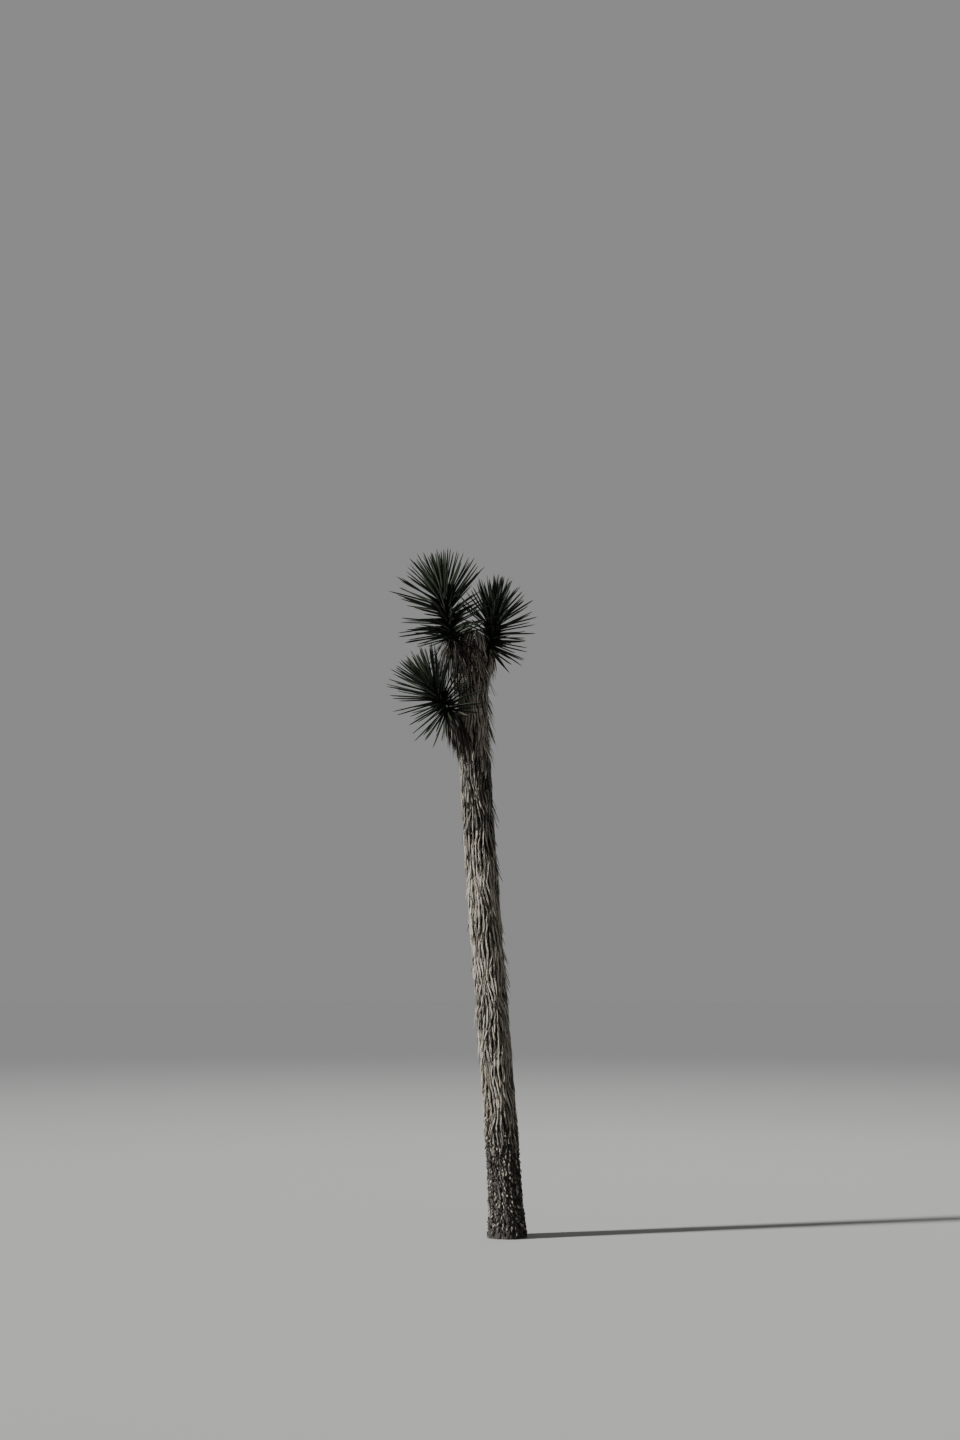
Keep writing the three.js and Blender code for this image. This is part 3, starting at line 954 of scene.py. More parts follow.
@dataclass(frozen=True)
class Bough(Limb):
    """A short bough from the trunk to the foot of its rosette, whose stem goes straight on from it."""

    HANDLE_PARTS = 3

    start: Point = (0, 0, 0)
    lean: Point = (0, 0, 0)
    base: Point = (0, 0, 0)
    tip: Point = (0, 0, 0)
    radius_root: float = 0.044
    radius_tip: float = 0.031
    steps: int = 70

    def curve(self) -> Curve:
        """Give the bough's line.

        Returns:
            The line, which arrives in the direction of the rosette's stem.
        """
        base = np.array(self.base)
        along = unit(np.array(self.tip) - base)
        reach = np.linalg.norm(base - np.array(self.start)) / self.HANDLE_PARTS
        return Curve([self.start, self.lean, base - along * reach, base])

    def radius(self, share: np.ndarray, angle: np.ndarray) -> np.ndarray:
        """Give the bough's radius at shares of its line."""
        return blend(self.radius_root, self.radius_tip, share) + 0 * angle

    def shares(self) -> np.ndarray:
        """Give the rings' shares."""
        return np.linspace(0, 1, self.steps)

    def apart_from_stem(self, points: np.ndarray) -> np.ndarray:
        """Measure how far points lie from the stem of the bough's rosette.

        Args:
            points: The points.

        Returns:
            The distance of each.
        """
        base = np.array(self.base)
        stem = np.array(self.tip) - base
        share = np.clip((points - base) @ stem / (stem @ stem), 0, 1)
        return np.linalg.norm(points - base - share[:, None] * stem, axis=1)


@dataclass(frozen=True)
class Stem(Limb):
    """The stem inside a rosette, straight on from its bough."""

    base: Point = (0, 0, 0)
    tip: Point = (0, 0, 0)
    radius_foot: float = 0.031
    radius_tip: float = 0.017
    seat: float = 0.0003
    dome: float = 0.1
    dome_end: float = 0.98
    steps: int = 60
    sides: int = 48

    def curve(self) -> Curve:
        """Give the stem's line."""
        return Curve.straight(self.base, self.tip)

    def radius(self, share: np.ndarray, angle: np.ndarray) -> np.ndarray:
        """Give the stem's radius at shares of its line, rounded over at its tip."""
        above = np.clip((share - 1 + self.dome) / self.dome, 0, self.dome_end)
        return blend(self.radius_foot, self.radius_tip, share) * np.sqrt(1 - above**2) + 0 * angle

    def shares(self) -> np.ndarray:
        """Give the rings' shares, from just clear of the bough."""
        length = math.dist(self.base, self.tip)
        return np.linspace(self.seat / length, 1, self.steps)


TRUNK = Trunk("trunk")
UPPER_LEFT = Bough(
    "bough_upper_left",
    start=(-0.190, 0, 3.105),
    lean=(-0.232, -0.022, 3.185),
    base=(-0.298, -0.052, 3.278),
    tip=(-0.356, -0.066, 3.552),
)
UPPER_RIGHT = Bough(
    "bough_upper_right",
    start=(-0.186, 0, 3.080),
    lean=(-0.142, 0.022, 3.140),
    base=(-0.096, 0.048, 3.226),
    tip=(-0.058, 0.062, 3.456),
)
SIDE_ARM = Bough(
    "side_arm",
    start=(-0.180, -0.008, 2.672),
    lean=(-0.246, -0.046, 2.722),
    base=(-0.318, -0.088, 2.862),
    tip=(-0.418, -0.117, 3.006),
)
BOUGHS = (UPPER_LEFT, UPPER_RIGHT, SIDE_ARM)

GREENS = list(Green)
# The first stretches of each live leaf take the base finish, which is painted shade.
LIVE_SHADE_BASE = GREENS.index(Green.BASE)
LIVE_SPINE = GREENS.index(Green.SPINE)
LIVE_TINTS = (0.34, 0.33, 0.33)
LIVE_BANDS = (LIVE_SHADE_BASE, LIVE_SHADE_BASE, LIVE_SHADE_BASE, Blades.OWN, Blades.OWN, Blades.OWN, LIVE_SPINE)


@dataclass(frozen=True)
class Rosette:
    """A rosette: leaves in a golden-angle spiral up a stem, upright at its tip and spread at its foot.

    The leaves of the skirt, at the foot, bend back and are short. The leaves of a poor season, part of the
    way up, are short too, which leaves a step in the outline.
    """

    name: str
    bough: Bough
    leaves: int
    leaf_length: float
    tip_length: float
    season_at: float
    season_loss: float
    tilt_at_foot: float
    tilt_power: float
    skirt_tilt: float
    skirt_share: float
    skirt_loss: float
    seed: int
    turn: float
    half_width: float = 0.0056
    width_spread: float = 0.14
    root_inset: float = 0.3
    length_spread: float = 0.08
    angle_spread: float = 0.12
    tip_leaf_power: float = 5
    season_width: float = 0.09
    tilt_at_tip: float = 7
    tilt_spread: float = 8
    droop: tuple[float, float] = (0.05, 0.07)
    sway_spread: float = 0.09
    twist_spread: float = 0.3
    crossing_share: float = 0.58
    limb_clearance: float = 0.012
    limb_steps: int = 120
    base_stations: int = 3
    reach_margin: float = 0.012
    least_slope: float = 1e-6

    def stem(self) -> Stem:
        """Give the stem that the leaves grow from."""
        return Stem(self.name + "_stem", base=self.bough.base, tip=self.bough.tip)

    def blades(self) -> Blades:
        """Grow the rosette's live leaves.

        Returns:
            The leaves that keep clear of the other limbs, each inside the tree's reach.
        """
        stream = Stream(self.seed)
        count = self.leaves
        number = np.arange(count)
        share = (number + 0.5) / count
        stem = self.stem()
        places = stem.curve().at(share)
        angle = self.turn + number * GOLDEN_ANGLE + stream.spread(self.angle_spread, count)
        out = places.outwards(angle)
        skirt = np.exp(-share / self.skirt_share)
        rise = blend(self.tilt_at_foot, self.tilt_at_tip, share**self.tilt_power)
        tilt = np.radians(rise + self.skirt_tilt * skirt + stream.spread(self.tilt_spread, count))[:, None]
        season = 1 - self.season_loss * np.exp(-(((share - self.season_at) / self.season_width) ** 2))
        grown = blend(self.leaf_length, self.tip_length, share**self.tip_leaf_power)
        full = grown * season * (1 - self.skirt_loss * skirt)
        along = places.along * np.cos(tilt) + out * np.sin(tilt)
        length = full * (1 + stream.spread(self.length_spread, count))
        root = places.centre + out * (self.root_inset * stem.radius(share, angle))[:, None]
        level, spread = self.droop
        bend = Bend(
            level + stream.spread(spread, count),
            stream.spread(self.sway_spread, count),
            np.zeros(count),
            stream.spread(self.twist_spread, count),
        )
        blades = Blades.grown(
            Shape.DAGGER,
            root,
            along,
            unit(np.cross(places.along, out)),
            self.within_reach(root, along, length),
            self.half_width * (1 + stream.spread(self.width_spread, count)),
            bend,
            dealt(stream.shares(count), LIVE_TINTS),
            LIVE_BANDS,
        )
        return blades.where(self.is_clear(blades) & self.keeps_in(blades))

    def keeps_in(self, blades: Blades) -> np.ndarray:
        """Tell which leaves end nearer to their own stem, or cross over to another only a little.

        Args:
            blades: The leaves.

        Returns:
            A mask over the leaves.
        """
        tips = blades.path[:, -1]
        apart = {bough.name: bough.apart_from_stem(tips) for bough in BOUGHS}
        own = apart.pop(self.bough.name)
        return np.all([other > self.crossing_share * own for other in apart.values()], axis=0)

    def within_reach(self, root: np.ndarray, along: np.ndarray, length: np.ndarray) -> np.ndarray:
        """Shorten the leaves that would pass the tree's box.

        Args:
            root: Where each leaf starts.
            along: The way in which each points.
            length: The length of each.

        Returns:
            The lengths that stay inside.
        """
        low, high = (np.array(corner) for corner in CAD_BOX)
        edge = np.where(along > 0, high + self.reach_margin, low - self.reach_margin)
        room = (edge - root) / np.where(np.abs(along) < self.least_slope, self.least_slope, along)
        return np.minimum(length, room.min(axis=1))

    def is_clear(self, blades: Blades) -> np.ndarray:
        """Tell which leaves keep clear of the trunk and the other boughs.

        Args:
            blades: The leaves.

        Returns:
            A mask over the leaves.
        """
        others = [TRUNK] + [bough for bough in BOUGHS if bough is not self.bough]
        clear = np.full(len(blades.path), True)
        outer = blades.path[:, self.base_stations :]
        share = np.linspace(0, 1, self.limb_steps)
        for limb in others:
            axis = limb.curve().at(share).centre
            radius = limb.radius(share, np.zeros(len(share))) + self.limb_clearance
            apart = np.linalg.norm(outer[:, :, None] - axis[None, None], axis=3)
            clear &= (apart > radius).all(axis=(1, 2))
        return clear

    def build(self, bark: bpy.types.Material, greens: list[bpy.types.Material]) -> None:
        """Build the rosette's stem and its leaves."""
        settle(self.stem().bark(bark), Slot.BARK, self.name)
        settle(joined_blades(self.name + "_leaves", [self.blades()], greens), Slot.LIVE_LEAF, self.name)


@dataclass(frozen=True, kw_only=True)
class Thatch:
    """Dead leaves on one stretch of a limb, which goes from one share of the limb's line to another."""

    stretch: tuple[float, float]
    leaves: int
    leaf_length: float
    flare: float
    seed: int
    tints: tuple[float, ...]
    fibres: int = 0
    broken_share: float = 0.35
    broken_length: float = 0.7
    half_width: float = 0.0046
    width_spread: float = 0.3
    fibre_length: float = 0.7
    fibre_width: float = 0.4
    root_depth: float = 0.004
    length_spread: float = 0.3

    def grow(self, shape: Shape, count: int, size: float, width: float, stream: Stream) -> Blades:
        """Grow a count of one kind of dead blade, of a size and width next to a whole leaf."""
        raise NotImplementedError

    def blades(self) -> list[Blades]:
        """Grow the thatch's blades.

        Returns:
            The whole leaves, the broken leaves and the loose fibres.
        """
        stream = Stream(self.seed)
        broken = round(self.leaves * self.broken_share)
        return [
            self.grow(Shape.DRIED, self.leaves - broken, 1, 1, stream),
            self.grow(Shape.BROKEN, broken, self.broken_length, 1, stream),
            self.grow(Shape.FIBRE, self.fibres, self.fibre_length, self.fibre_width, stream),
        ]


@dataclass(frozen=True, kw_only=True)
class TrunkThatch(Thatch):
    """The thatch round a stretch of the trunk: dead leaves pressed against it in wandering strands.

    Some lie lower and darker, in the valleys between the strands: painted shade in the recesses, partly
    the darker inner leaves. Here and there a tuft stands off at its tips. The known tufts are given by
    their strand and height.
    """

    VALLEY = 0.5
    # Near-black tints for the leaves in the valleys: painted shade in the recesses, partly the darker
    # inner leaves.
    VALLEY_SHADE_TINTS = (0, 0, 0.02, 0.18, 0.80)

    broken_share: float = 0.75
    broken_length: float = 0.8
    half_width: float = 0.0034
    outer_radius: float = 0.088
    least: float = 0.007
    tier_height: float = 0.130
    tier_step_out: float = 0.004
    strand_spread: float = 0.08
    strand_drift: float = 0.12
    strand_levels: tuple[float, float] = (0.6, 1.0)
    rank_length: float = 1.1
    tone_spread: float = 0.24
    pressed_twist: float = 0.45
    valley_share: float = 0.25
    valley_level: float = 0.10
    level_floor: float = 0.7
    level_spread: float = 0.15
    tufts: int = 3
    known_tufts: tuple[tuple[float, float], ...] = ()
    tuft_size: tuple[float, float] = (1.0, 0.045)
    tuft_flare: tuple[float, float] = (0.5, 1.0)
    loose_share: float = 0.012
    press_spread: float = 0.002
    hem_share: float = 1.0
    hem_rise: float = 0.12
    press_power: int = 3
    stand_off_power: int = 2

    def ground(self, height: np.ndarray, angle: np.ndarray) -> np.ndarray:
        """Give the radius of what the leaves are pressed against."""
        return TRUNK.radius(TRUNK.share_of(height), angle)

    def rank(self, strand: np.ndarray, height: np.ndarray) -> np.ndarray:
        """Tell how proud a strand is next to the others at some heights, from 0 to 1.

        The prouder strands are dealt paler tints and the lower ones darker: painted light and painted
        shade.
        """
        return (np.round(strand) * GOLDEN_SHARE + height / self.rank_length) % 1

    def thickness(self, height: np.ndarray, angle: np.ndarray, strand: np.ndarray) -> np.ndarray:
        """Work out how far the outermost leaves lie above the ground.

        Args:
            height: The height of each leaf's root.
            angle: The angle round the trunk there.
            strand: The strand of each leaf.

        Returns:
            The distances, wider down each tier of a strand, and thinner near the thatch's hem.
        """
        down = 1 - (height / self.tier_height + np.round(strand) * GOLDEN_SHARE) % 1
        room = np.maximum(self.outer_radius - self.ground(height, angle), self.least)
        hem = TRUNK.height_at(self.stretch[0])
        above_hem = np.clip((height - hem) / self.hem_rise, 0, 1)
        return (room + self.tier_step_out * down) * blend(self.hem_share, 1, above_hem)

    def in_tuft(self, strand: np.ndarray, height: np.ndarray, stream: Stream) -> np.ndarray:
        """Tell which leaves belong to one of the tufts that stand off together.

        Args:
            strand: The strand of each leaf.
            height: The height of each leaf's root.
            stream: The stream to draw the tufts' places from.

        Returns:
            A mask over the leaves.
        """
        across, along = self.tuft_size
        middle = stream.shares(self.tufts) * STRANDS.count
        shares = blend(*self.stretch, stream.shares(self.tufts))
        known = np.array(self.known_tufts).reshape(-1, 2)
        middle = np.append(middle, known[:, 0])
        level = np.append(TRUNK.height_at(shares), known[:, 1])
        aside = (strand[:, None] - middle + STRANDS.count / 2) % STRANDS.count - STRANDS.count / 2
        near = (np.abs(aside) < across) & (np.abs(height[:, None] - level) < along)
        return near.any(axis=1)

    def stand_off(
        self, strand: np.ndarray, height: np.ndarray, length: np.ndarray, stream: Stream
    ) -> np.ndarray:
        """Work out how far each leaf's tip stands off the thatch, in metres.

        Args:
            strand: The strand of each leaf.
            height: The height of each leaf's root.
            length: The length of each.
            stream: The stream to draw from.

        Returns:
            The distances: small ones, and large ones on tufts and loose leaves.
        """
        count = len(strand)
        loose = self.in_tuft(strand, height, stream) | (stream.shares(count) < self.loose_share)
        flare = length * np.radians(self.flare * blend(*self.tuft_flare, stream.shares(count)))
        return np.where(loose, flare, stream.spread(self.press_spread, count))

    def grow(self, shape: Shape, count: int, size: float, width: float, stream: Stream) -> Blades:
        """Lay one kind of dead blade down the strands.

        Args:
            shape: The kind of blade.
            count: How many.
            size: Their length as a share of the thatch's leaf length.
            width: Their width as a share of the thatch's leaf width.
            stream: The stream to draw from.

        Returns:
            The blades.
        """
        number = np.arange(count)
        share = blend(*self.stretch, (number + stream.shares(count)) / count)
        height = TRUNK.height_at(share)
        low = stream.shares(count) < self.valley_share
        aside = stream.spread(self.strand_spread, count)
        strand = np.round(number * GOLDEN_ANGLE / STRANDS.spacing) + aside + self.VALLEY * low
        length = size * self.leaf_length * (1 + stream.spread(self.length_spread, count))
        rank = self.rank(strand, height)
        edge = np.abs(aside) / self.strand_spread
        standing = blend(1, self.level_floor, edge) * blend(*self.strand_levels, rank)
        level = np.where(low, self.valley_level, standing) * (1 + stream.spread(self.level_spread, count))
        stand_off = self.stand_off(strand, height, length, stream) * ~low
        drift = stream.spread(self.strand_drift, count)
        layer = level * self.thickness(height, STRANDS.angle(strand, height), strand)

        t = np.array(shape.value.stations)
        heights = height[:, None] - length[:, None] * t
        swing = STRANDS.spacing * STRANDS.own_wave(strand[:, None], heights)
        angles = STRANDS.angle(strand[:, None] + drift[:, None] * (t - 0.5), heights) + swing
        pressed = blend(-self.root_depth, layer[:, None], 1 - (1 - t) ** self.press_power)
        lifted = stand_off[:, None] * t**self.stand_off_power
        reach = np.maximum(self.ground(heights, angles) + pressed, 0) + lifted
        places = TRUNK.curve().at(TRUNK.share_of(heights).ravel())
        path = places.centre + places.outwards(angles.ravel()) * reach.ravel()[:, None]

        roots = TRUNK.curve().at(share)
        across = unit(np.cross(-roots.along, roots.outwards(angles[:, 0])))
        half_width = width * self.half_width * (1 + stream.spread(self.width_spread, count))
        twist = stream.spread(self.pressed_twist, count)
        # Prouder strands draw paler tints, lower ones darker: painted light on the crests and painted
        # shade below.
        draws = (1 - rank + stream.spread(self.tone_spread, count)) % 1
        tint = np.where(low, dealt(draws, self.VALLEY_SHADE_TINTS), dealt(draws, self.tints))
        return Blades(shape, path.reshape(count, len(t), 3), across, half_width, twist, tint)


@dataclass(frozen=True, kw_only=True)
class LeafBases(TrunkThatch):
    """The worn stubs of old leaves, like beads down the strands of the bare lower trunk."""

    outer_radius: float = 0.0
    least: float = 0.0035
    tier_step_out: float = 0.002
    half_width: float = 0.0042
    length_spread: float = 0.35
    loose_share: float = 0.02
    tufts: int = 0
    valley_share: float = 0.4

    def blades(self) -> list[Blades]:
        """Grow the stubs."""
        return [self.grow(Shape.STUB, self.leaves, 1, 1, Stream(self.seed))]


@dataclass(frozen=True)
class Column:
    """The thatched column of the trunk, up to its rounded hump.

    The boughs' dead leaves hang over it. One that would need more than the furthest push is left out.
    """

    radius: float = 0.091
    narrows_at: float = 3.05
    shoulder: float = 3.29
    shoulder_radius: float = 0.073
    top: float = 3.335
    furthest_push: float = 0.035

    def surface(self, height: np.ndarray) -> np.ndarray:
        """Give the column's radius.

        Args:
            height: The heights.

        Returns:
            The radius at each height, down to nothing at the column's top.
        """
        narrowed = np.clip((height - self.narrows_at) / (self.shoulder - self.narrows_at), 0, 1)
        dome = np.clip((height - self.shoulder) / (self.top - self.shoulder), 0, 1)
        return blend(self.radius, self.shoulder_radius, narrowed) * np.sqrt(1 - dome**2)

    def cleared(self, blades: Blades, proud: np.ndarray) -> Blades:
        """Lay blades that meet the column over its surface, and leave out those that run deep inside it.

        Args:
            blades: The blades.
            proud: How far each lies above the surface.

        Returns:
            The blades that stay, with no point inside.
        """
        path = blades.path
        height = path[:, :, 2]
        on_line = TRUNK.share_of(np.clip(height, TRUNK.foot, TRUNK.top))
        centre = TRUNK.curve().at(on_line.ravel()).centre.reshape(path.shape)
        offset = (path - centre)[:, :, :2]
        apart = np.linalg.norm(offset, axis=2)
        surface = self.surface(height)
        wanted = np.where(surface > 0, surface + proud[:, None], 0)
        scale = np.maximum(wanted / apart, 1)[:, :, None]
        level = centre[:, :, :2] + offset * scale
        pushed = np.maximum(surface - apart, 0).max(axis=1)
        over = blades.moved(np.concatenate([level, path[:, :, 2:]], axis=2))
        return over.where(pushed < self.furthest_push)


COLUMN = Column()


@dataclass(frozen=True, kw_only=True)
class Hump(TrunkThatch):
    """The thatch of the column's narrow end, closed over the trunk's tip."""

    least: float = 0.016
    outer_radius: float = 0.0
    pressed_twist: float = 1.0
    strand_drift: float = 0.6
    level_spread: float = 0.4
    loose_share: float = 0.1
    tuft_flare: tuple[float, float] = (0.3, 1.6)

    def ground(self, height: np.ndarray, angle: np.ndarray) -> np.ndarray:
        """Give the radius of what the leaves are pressed against, down to nothing at the hump's top."""
        return np.maximum(COLUMN.surface(height) - self.least, 0) + 0 * angle


@dataclass(frozen=True, kw_only=True)
class Collar(Thatch):
    """The thatch round a bough, in layers that hang tips down.

    Its topmost leaves spread out, and all soon bend to hang straight down.
    """

    bough: Bough
    cover: float = 0.014
    layers: tuple[float, float] = (0.85, 0.4)
    steepest: float = 0.9
    droop: float = 2.0
    angle_spread: float = 0.3
    sway_spread: float = 0.3
    wave_spread: float = 0.14
    twist_spread: float = 1.1
    skirt_from: float = 0.45
    skirt_flare: float = 60
    skirt_droop: tuple[float, float] = (1.8, 6.0)
    proud: float = 0.010

    def reflex(self, share: np.ndarray, stream: Stream) -> tuple[np.ndarray, np.ndarray]:
        """Work out how far each leaf stands off, and how strongly it droops.

        Args:
            share: The share of the bough at each leaf.
            stream: The stream to draw from.

        Returns:
            The angle from the bough's backward direction, in degrees, and the droop.
        """
        count = len(share)
        skirt = np.clip((share - self.skirt_from) / (1 - self.skirt_from), 0, 1)
        flare = self.flare * stream.shares(count) + self.skirt_flare * skirt * stream.shares(count)
        return flare, self.droop + blend(*self.skirt_droop, stream.shares(count))

    def grow(self, shape: Shape, count: int, size: float, width: float, stream: Stream) -> Blades:
        """Grow one kind of dead blade round the bough.

        Args:
            shape: The kind of blade.
            count: How many.
            size: Their length as a share of the thatch's leaf length.
            width: Their width as a share of the thatch's leaf width.
            stream: The stream to draw from.

        Returns:
            The blades.
        """
        number = np.arange(count)
        share = blend(*self.stretch, (number + stream.shares(count)) / count)
        angle = number * GOLDEN_ANGLE + stream.spread(self.angle_spread, count)
        places = self.bough.curve().at(share)
        out = places.outwards(angle)
        length = size * self.leaf_length * (1 + stream.spread(self.length_spread, count))
        level, spread = self.layers
        layer = self.cover * (level + stream.spread(spread, count)) + self.root_depth
        flare, droop = self.reflex(share, stream)
        lift = (np.arcsin(np.clip(layer / length, 0, self.steepest)) + np.radians(flare))[:, None]
        along = -places.along * np.cos(lift) + out * np.sin(lift)
        root = places.centre + out * (self.bough.radius(share, angle) - self.root_depth)[:, None]
        spreads = (self.sway_spread, self.wave_spread, self.twist_spread)
        bend = Bend(droop, *(stream.spread(spread, count) for spread in spreads))
        return Blades.grown(
            shape,
            root,
            along,
            unit(np.cross(along, out)),
            length,
            width * self.half_width * (1 + stream.spread(self.width_spread, count)),
            bend,
            dealt(stream.shares(count), self.tints),
        )

    def blades(self) -> list[Blades]:
        """Grow the collar's blades.

        Returns:
            The blades, with those that meet the trunk laid over its thatch.
        """
        stream = Stream(self.seed)
        cleared = []
        for grown in super().blades():
            proud = self.proud * stream.shares(len(grown.path))
            cleared.append(COLUMN.cleared(grown, proud))
        return cleared


@dataclass(frozen=True)
class Lamp:
    """One soft lamp that faces the tree."""

    name: str
    place: Point
    size: float
    power: float

    def hang(self, target: Point) -> None:
        """Hang the lamp.

        Args:
            target: The point that it faces.
        """
        data = bpy.data.lights.new(self.name, "AREA")
        data.size = self.size
        data.energy = self.power
        hang_light(data, self.place, target)


def hang_light(data: bpy.types.Light, place: Point, target: Point) -> None:
    """Put a light into the scene.

    Args:
        data: The light.
        place: Where it stands.
        target: The point that it faces.
    """
    light = bpy.data.objects.new(data.name, data)
    light.location = place
    light.rotation_euler = (Vector(target) - Vector(place)).to_track_quat("-Z", "Y").to_euler()
    bpy.context.scene.collection.objects.link(light)


@dataclass(frozen=True)
class Studio:
    """A pale floor under an even pale surround, soft light from the upper left, and the camera."""

    LEVEL_TILT = 90.0

    lens: float = 50.0
    sensor: float = 36.0
    camera_place: Point = (-0.1437, -11.1, 1.5)
    camera_pitch: float = 6.798
    floor_radius: float = 60.0
    floor_sides: int = 96
    floor_near: Colour = (0.275, 0.275, 0.270)
    floor_far: Colour = (0.1398, 0.1398, 0.1398)
    floor_fade: tuple[float, float] = (2.5, 22.0)
    floor_plane: Point = (1.0, 1.0, 0.0)
    floor_roughness: float = 0.95
    floor_gloss: float = 0.0
    surround: Colour = (1.0, 1.0, 1.0)
    surround_strength: float = 0.27
    target: Point = (-0.15, 0.0, 1.9)
    key_place: Point = (-6.5, -1.8, 5.4)
    key_strength: float = 10.9
    key_angle: float = 4.0
    lamps: tuple[Lamp, ...] = (
        Lamp("fill", (5.5, -6.0, 3.0), size=4.0, power=8),
        Lamp("rim", (3.0, 6.0, 5.0), size=3.0, power=50),
    )

    def camera(self) -> None:
        """Stand the camera at the photograph's viewing angle."""
        data = bpy.data.cameras.new("camera")
        data.lens = self.lens
        data.sensor_width = self.sensor
        camera = bpy.data.objects.new("camera", data)
        camera.location = self.camera_place
        camera.rotation_euler = (math.radians(self.LEVEL_TILT + self.camera_pitch), 0, 0)
        bpy.context.scene.collection.objects.link(camera)
        bpy.context.scene.camera = camera

    def floor(self) -> None:
        """Lay the floor, which darkens with distance until it meets the surround."""
        mesh = bpy.data.meshes.new("floor")
        angles = np.linspace(0, 2 * math.pi, self.floor_sides, endpoint=False)
        rim = [(self.floor_radius * math.cos(a), self.floor_radius * math.sin(a), 0) for a in angles]
        mesh.from_pydata(rim, [], [list(range(self.floor_sides))])
        shader = Shader("floor")
        place = shader.place(self.floor_plane)
        away = shader.node("ShaderNodeVectorMath", {"operation": "LENGTH"}, {"Vector": place}, "Value")
        near, far = self.floor_fade
        sockets = {"Value": away, "From Min": near, "From Max": far}
        share = shader.node("ShaderNodeMapRange", {"interpolation_type": "SMOOTHSTEP"}, sockets, "Result")
        shader.dress("Base Color", shader.mix(share, (*self.floor_near, 1), (*self.floor_far, 1)))
        shader.dress("Roughness", self.floor_roughness)
        shader.dress("Specular IOR Level", self.floor_gloss)
        new_piece(mesh, [shader.material])

    def key(self) -> None:
        """Hang the main light, as wide as a soft sun, at the upper left."""
        data = bpy.data.lights.new("key", "SUN")
        data.energy = self.key_strength
        data.angle = math.radians(self.key_angle)
        hang_light(data, self.key_place, self.target)

    def build(self) -> None:
        """Set up the surround, the floor, the lights and the camera."""
        world = bpy.data.worlds.new("surround")
        world.use_nodes = True
        background = world.node_tree.nodes["Background"]
        background.inputs["Color"].default_value = (*self.surround, 1)
        background.inputs["Strength"].default_value = self.surround_strength
        bpy.context.scene.world = world
        self.floor()
        self.key()
        for lamp in self.lamps:
            lamp.hang(self.target)
        self.camera()


ROSETTES: list[Rosette] = [
    Rosette(
        "rosette_upper_left",
        UPPER_LEFT,
        leaves=180,
        leaf_length=0.336,
        tip_length=0.200,
        season_at=0.44,
        season_loss=0.5,
        tilt_at_foot=82,
        tilt_power=2.2,
        skirt_tilt=6,
        skirt_share=0.3,
        skirt_loss=0.32,
        seed=11,
        turn=0.4,
    ),
    Rosette(
        "rosette_upper_right",
        UPPER_RIGHT,
        leaves=150,
        leaf_length=0.256,
        tip_length=0.190,
        season_at=0.3,
        season_loss=0.28,
        tilt_at_foot=105,
        tilt_power=1.2,
        skirt_tilt=28,
        skirt_share=0.08,
        skirt_loss=0.5,
        seed=23,
        turn=1.9,
    ),
    Rosette(
        "rosette_side_arm",
        SIDE_ARM,
        leaves=150,
        leaf_length=0.310,
        tip_length=0.170,
        season_at=0.33,
        season_loss=0.25,
        tilt_at_foot=98,
        tilt_power=1,
        skirt_tilt=30,
        skirt_share=0.3,
        skirt_loss=0.36,
        seed=37,
        turn=3.1,
    ),
]

BASE_TINTS = (0.04, 0.22, 0.29, 0.26, 0.19)
LOWER_TINTS = (0.20, 0.29, 0.26, 0.16, 0.09)
MIDDLE_TINTS = (0.26, 0.31, 0.23, 0.13, 0.07)
# Darker tints where the shade under the side arm begins: painted shade, fading in.
SHADE_ONSET_TINTS = (0.16, 0.22, 0.25, 0.23, 0.14)
SHADED_TINTS = (0.06, 0.15, 0.26, 0.31, 0.22)
UPPER_TINTS = (0.26, 0.28, 0.23, 0.15, 0.08)
# Paler tints at the fork: partly the leaves' own weathering, partly painted light against the rosettes'
# shade.
FORK_LIGHTENED_TINTS = (0.32, 0.27, 0.20, 0.13, 0.08)
# Dark tints round the side arm: painted shade of its rosette over its collar.
ARM_SHADE_TINTS = (0.02, 0.05, 0.17, 0.38, 0.38)
# Near-black tints for the curtain: painted shade, for leaves seen dark against the surround.
CURTAIN_SHADE_TINTS = (0, 0, 0.05, 0.30, 0.65)

BARE = TRUNK.stretch(0.031, 0.80)
HEM = TRUNK.stretch(0.50, 0.74)
LOWER = TRUNK.stretch(0.66, 1.424)
MIDDLE = TRUNK.stretch(1.426, 2.10)
# The stretch where the painted shade under the side arm fades in.
SHADE_ONSET = TRUNK.stretch(2.10, 2.249)
SHADED = TRUNK.stretch(2.251, 2.74)
UPPER = TRUNK.stretch(2.70, 3.10)
TOPMOST = TRUNK.stretch(3.07, 3.333)

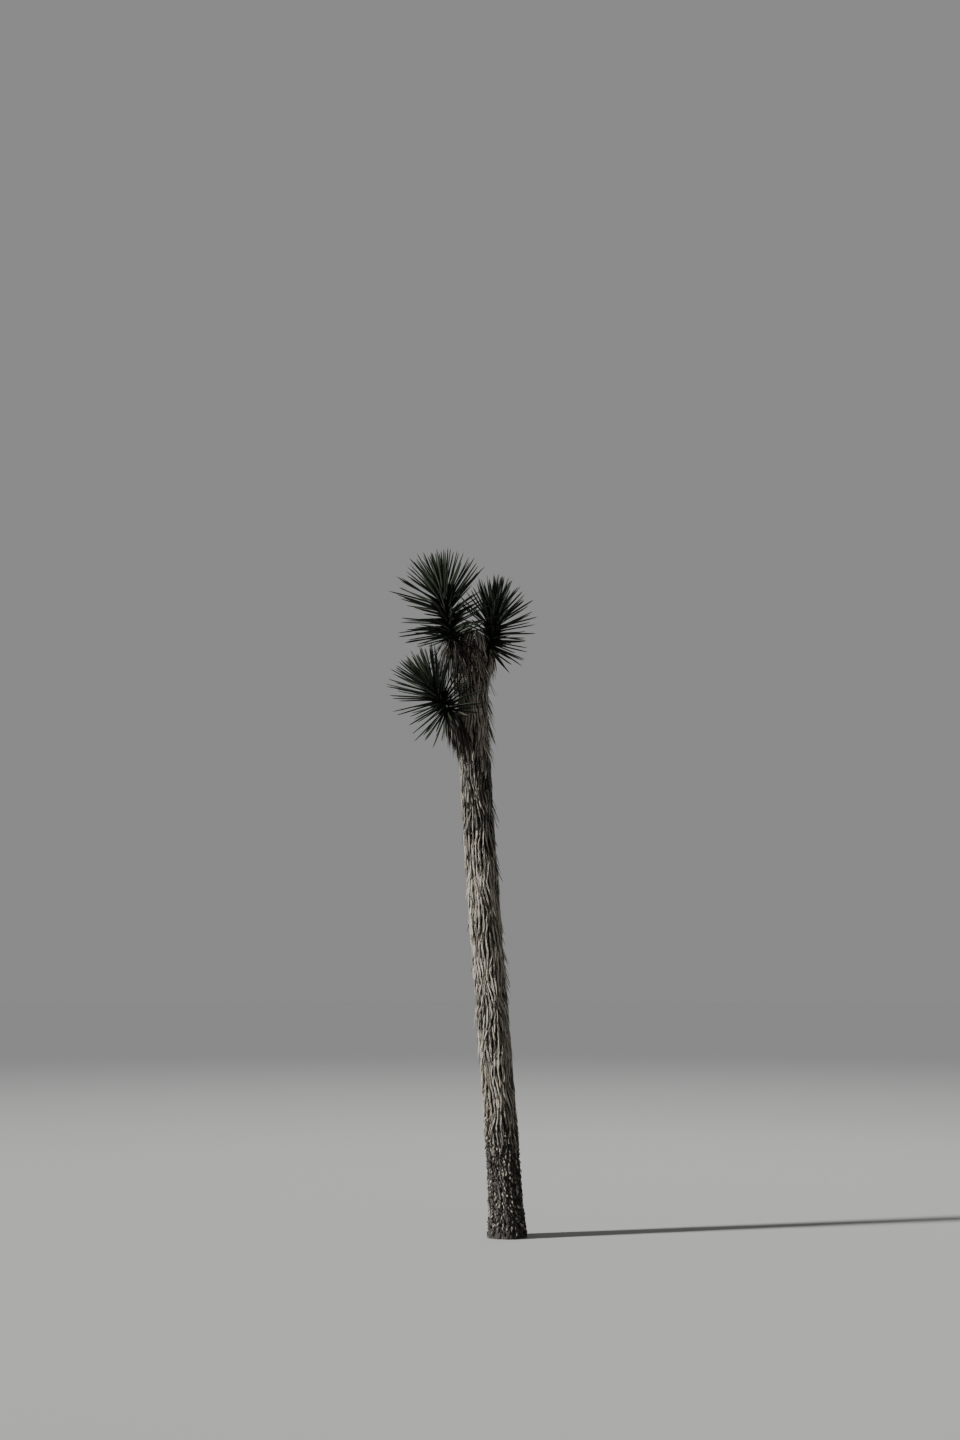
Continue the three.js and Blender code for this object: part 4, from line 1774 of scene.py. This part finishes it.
THATCHES: dict[str, list[Thatch]] = {
    "thatch_lower": [
        TrunkThatch(
            stretch=LOWER,
            leaves=1800,
            fibres=260,
            leaf_length=0.120,
            flare=14,
            seed=5,
            tints=LOWER_TINTS,
            hem_share=0.4,
        ),
        TrunkThatch(
            stretch=HEM,
            leaves=190,
            fibres=60,
            leaf_length=0.070,
            flare=14,
            seed=15,
            tints=BASE_TINTS,
            hem_share=0.25,
            tufts=0,
        ),
    ],
    "thatch_middle": [
        TrunkThatch(
            stretch=MIDDLE,
            leaves=1556,
            fibres=229,
            leaf_length=0.140,
            flare=14,
            seed=6,
            tints=MIDDLE_TINTS,
            known_tufts=((7.4, 2.08), (7.1, 1.60)),
        ),
        TrunkThatch(
            stretch=SHADE_ONSET,
            leaves=344,
            fibres=51,
            leaf_length=0.140,
            flare=14,
            seed=16,
            tints=SHADE_ONSET_TINTS,
            tufts=0,
        ),
    ],
    "thatch_upper": [
        TrunkThatch(
            stretch=UPPER,
            leaves=850,
            fibres=130,
            leaf_length=0.160,
            flare=15,
            seed=7,
            tints=UPPER_TINTS,
            known_tufts=((7.6, 2.96), (7.2, 2.85)),
        ),
        TrunkThatch(
            stretch=SHADED,
            leaves=1040,
            fibres=150,
            leaf_length=0.150,
            flare=15,
            seed=30,
            tints=SHADED_TINTS,
        ),
    ],
    "thatch_fork": [
        Hump(
            stretch=TOPMOST,
            leaves=620,
            fibres=120,
            leaf_length=0.130,
            flare=15,
            seed=8,
            tints=FORK_LIGHTENED_TINTS,
        ),
        Collar(
            bough=UPPER_LEFT,
            stretch=(0.1, 0.72),
            leaves=240,
            fibres=60,
            leaf_length=0.190,
            flare=9,
            seed=9,
            tints=FORK_LIGHTENED_TINTS,
            skirt_flare=8,
        ),
        Collar(
            bough=UPPER_LEFT,
            stretch=(0.62, 1.04),
            leaves=120,
            fibres=30,
            leaf_length=0.310,
            flare=85,
            seed=19,
            tints=CURTAIN_SHADE_TINTS,
            half_width=0.0032,
            wave_spread=0.32,
            skirt_flare=25,
            droop=0.8,
            skirt_droop=(1.4, 3.6),
        ),
        Collar(
            bough=UPPER_RIGHT,
            stretch=(0.15, 1.0),
            leaves=300,
            fibres=60,
            leaf_length=0.125,
            flare=8,
            seed=10,
            tints=FORK_LIGHTENED_TINTS,
            skirt_flare=30,
            droop=0.3,
            skirt_droop=(0.2, 1.5),
        ),
    ],
    "thatch_side_arm": [
        Collar(
            bough=SIDE_ARM,
            stretch=(0.3, 0.98),
            leaves=260,
            fibres=40,
            leaf_length=0.135,
            flare=20,
            seed=12,
            tints=ARM_SHADE_TINTS,
            skirt_flare=40,
        ),
    ],
}
LEAF_BASES = LeafBases(stretch=BARE, leaves=1600, leaf_length=0.017, flare=14, seed=91, tints=BASE_TINTS)


def main() -> None:
    """Build the tree from the ground up, then its studio."""
    logging.basicConfig(level=logging.INFO, format="%(message)s")
    noise.seed_set(Limb.WARP_SEED)
    bark = BarkFinish().material()
    tints = [tint.value.material() for tint in Tint]
    greens = [green.value.material() for green in GREENS]
    settle(TRUNK.bark(bark), Slot.BARK, TRUNK.name)
    settle(joined_blades("trunk_leaf_bases", LEAF_BASES.blades(), tints), Slot.BARK, TRUNK.name)
    for bough in BOUGHS:
        settle(bough.bark(bark), Slot.BARK, bough.name)
    for name, thatches in THATCHES.items():
        sets = [blades for thatch in thatches for blades in thatch.blades()]
        settle(joined_blades(name + "_leaves", sets, tints), Slot.DEAD_LEAF, name)
    for rosette in ROSETTES:
        rosette.build(bark, greens)
    Studio().build()


if __name__ == "__main__":
    main()
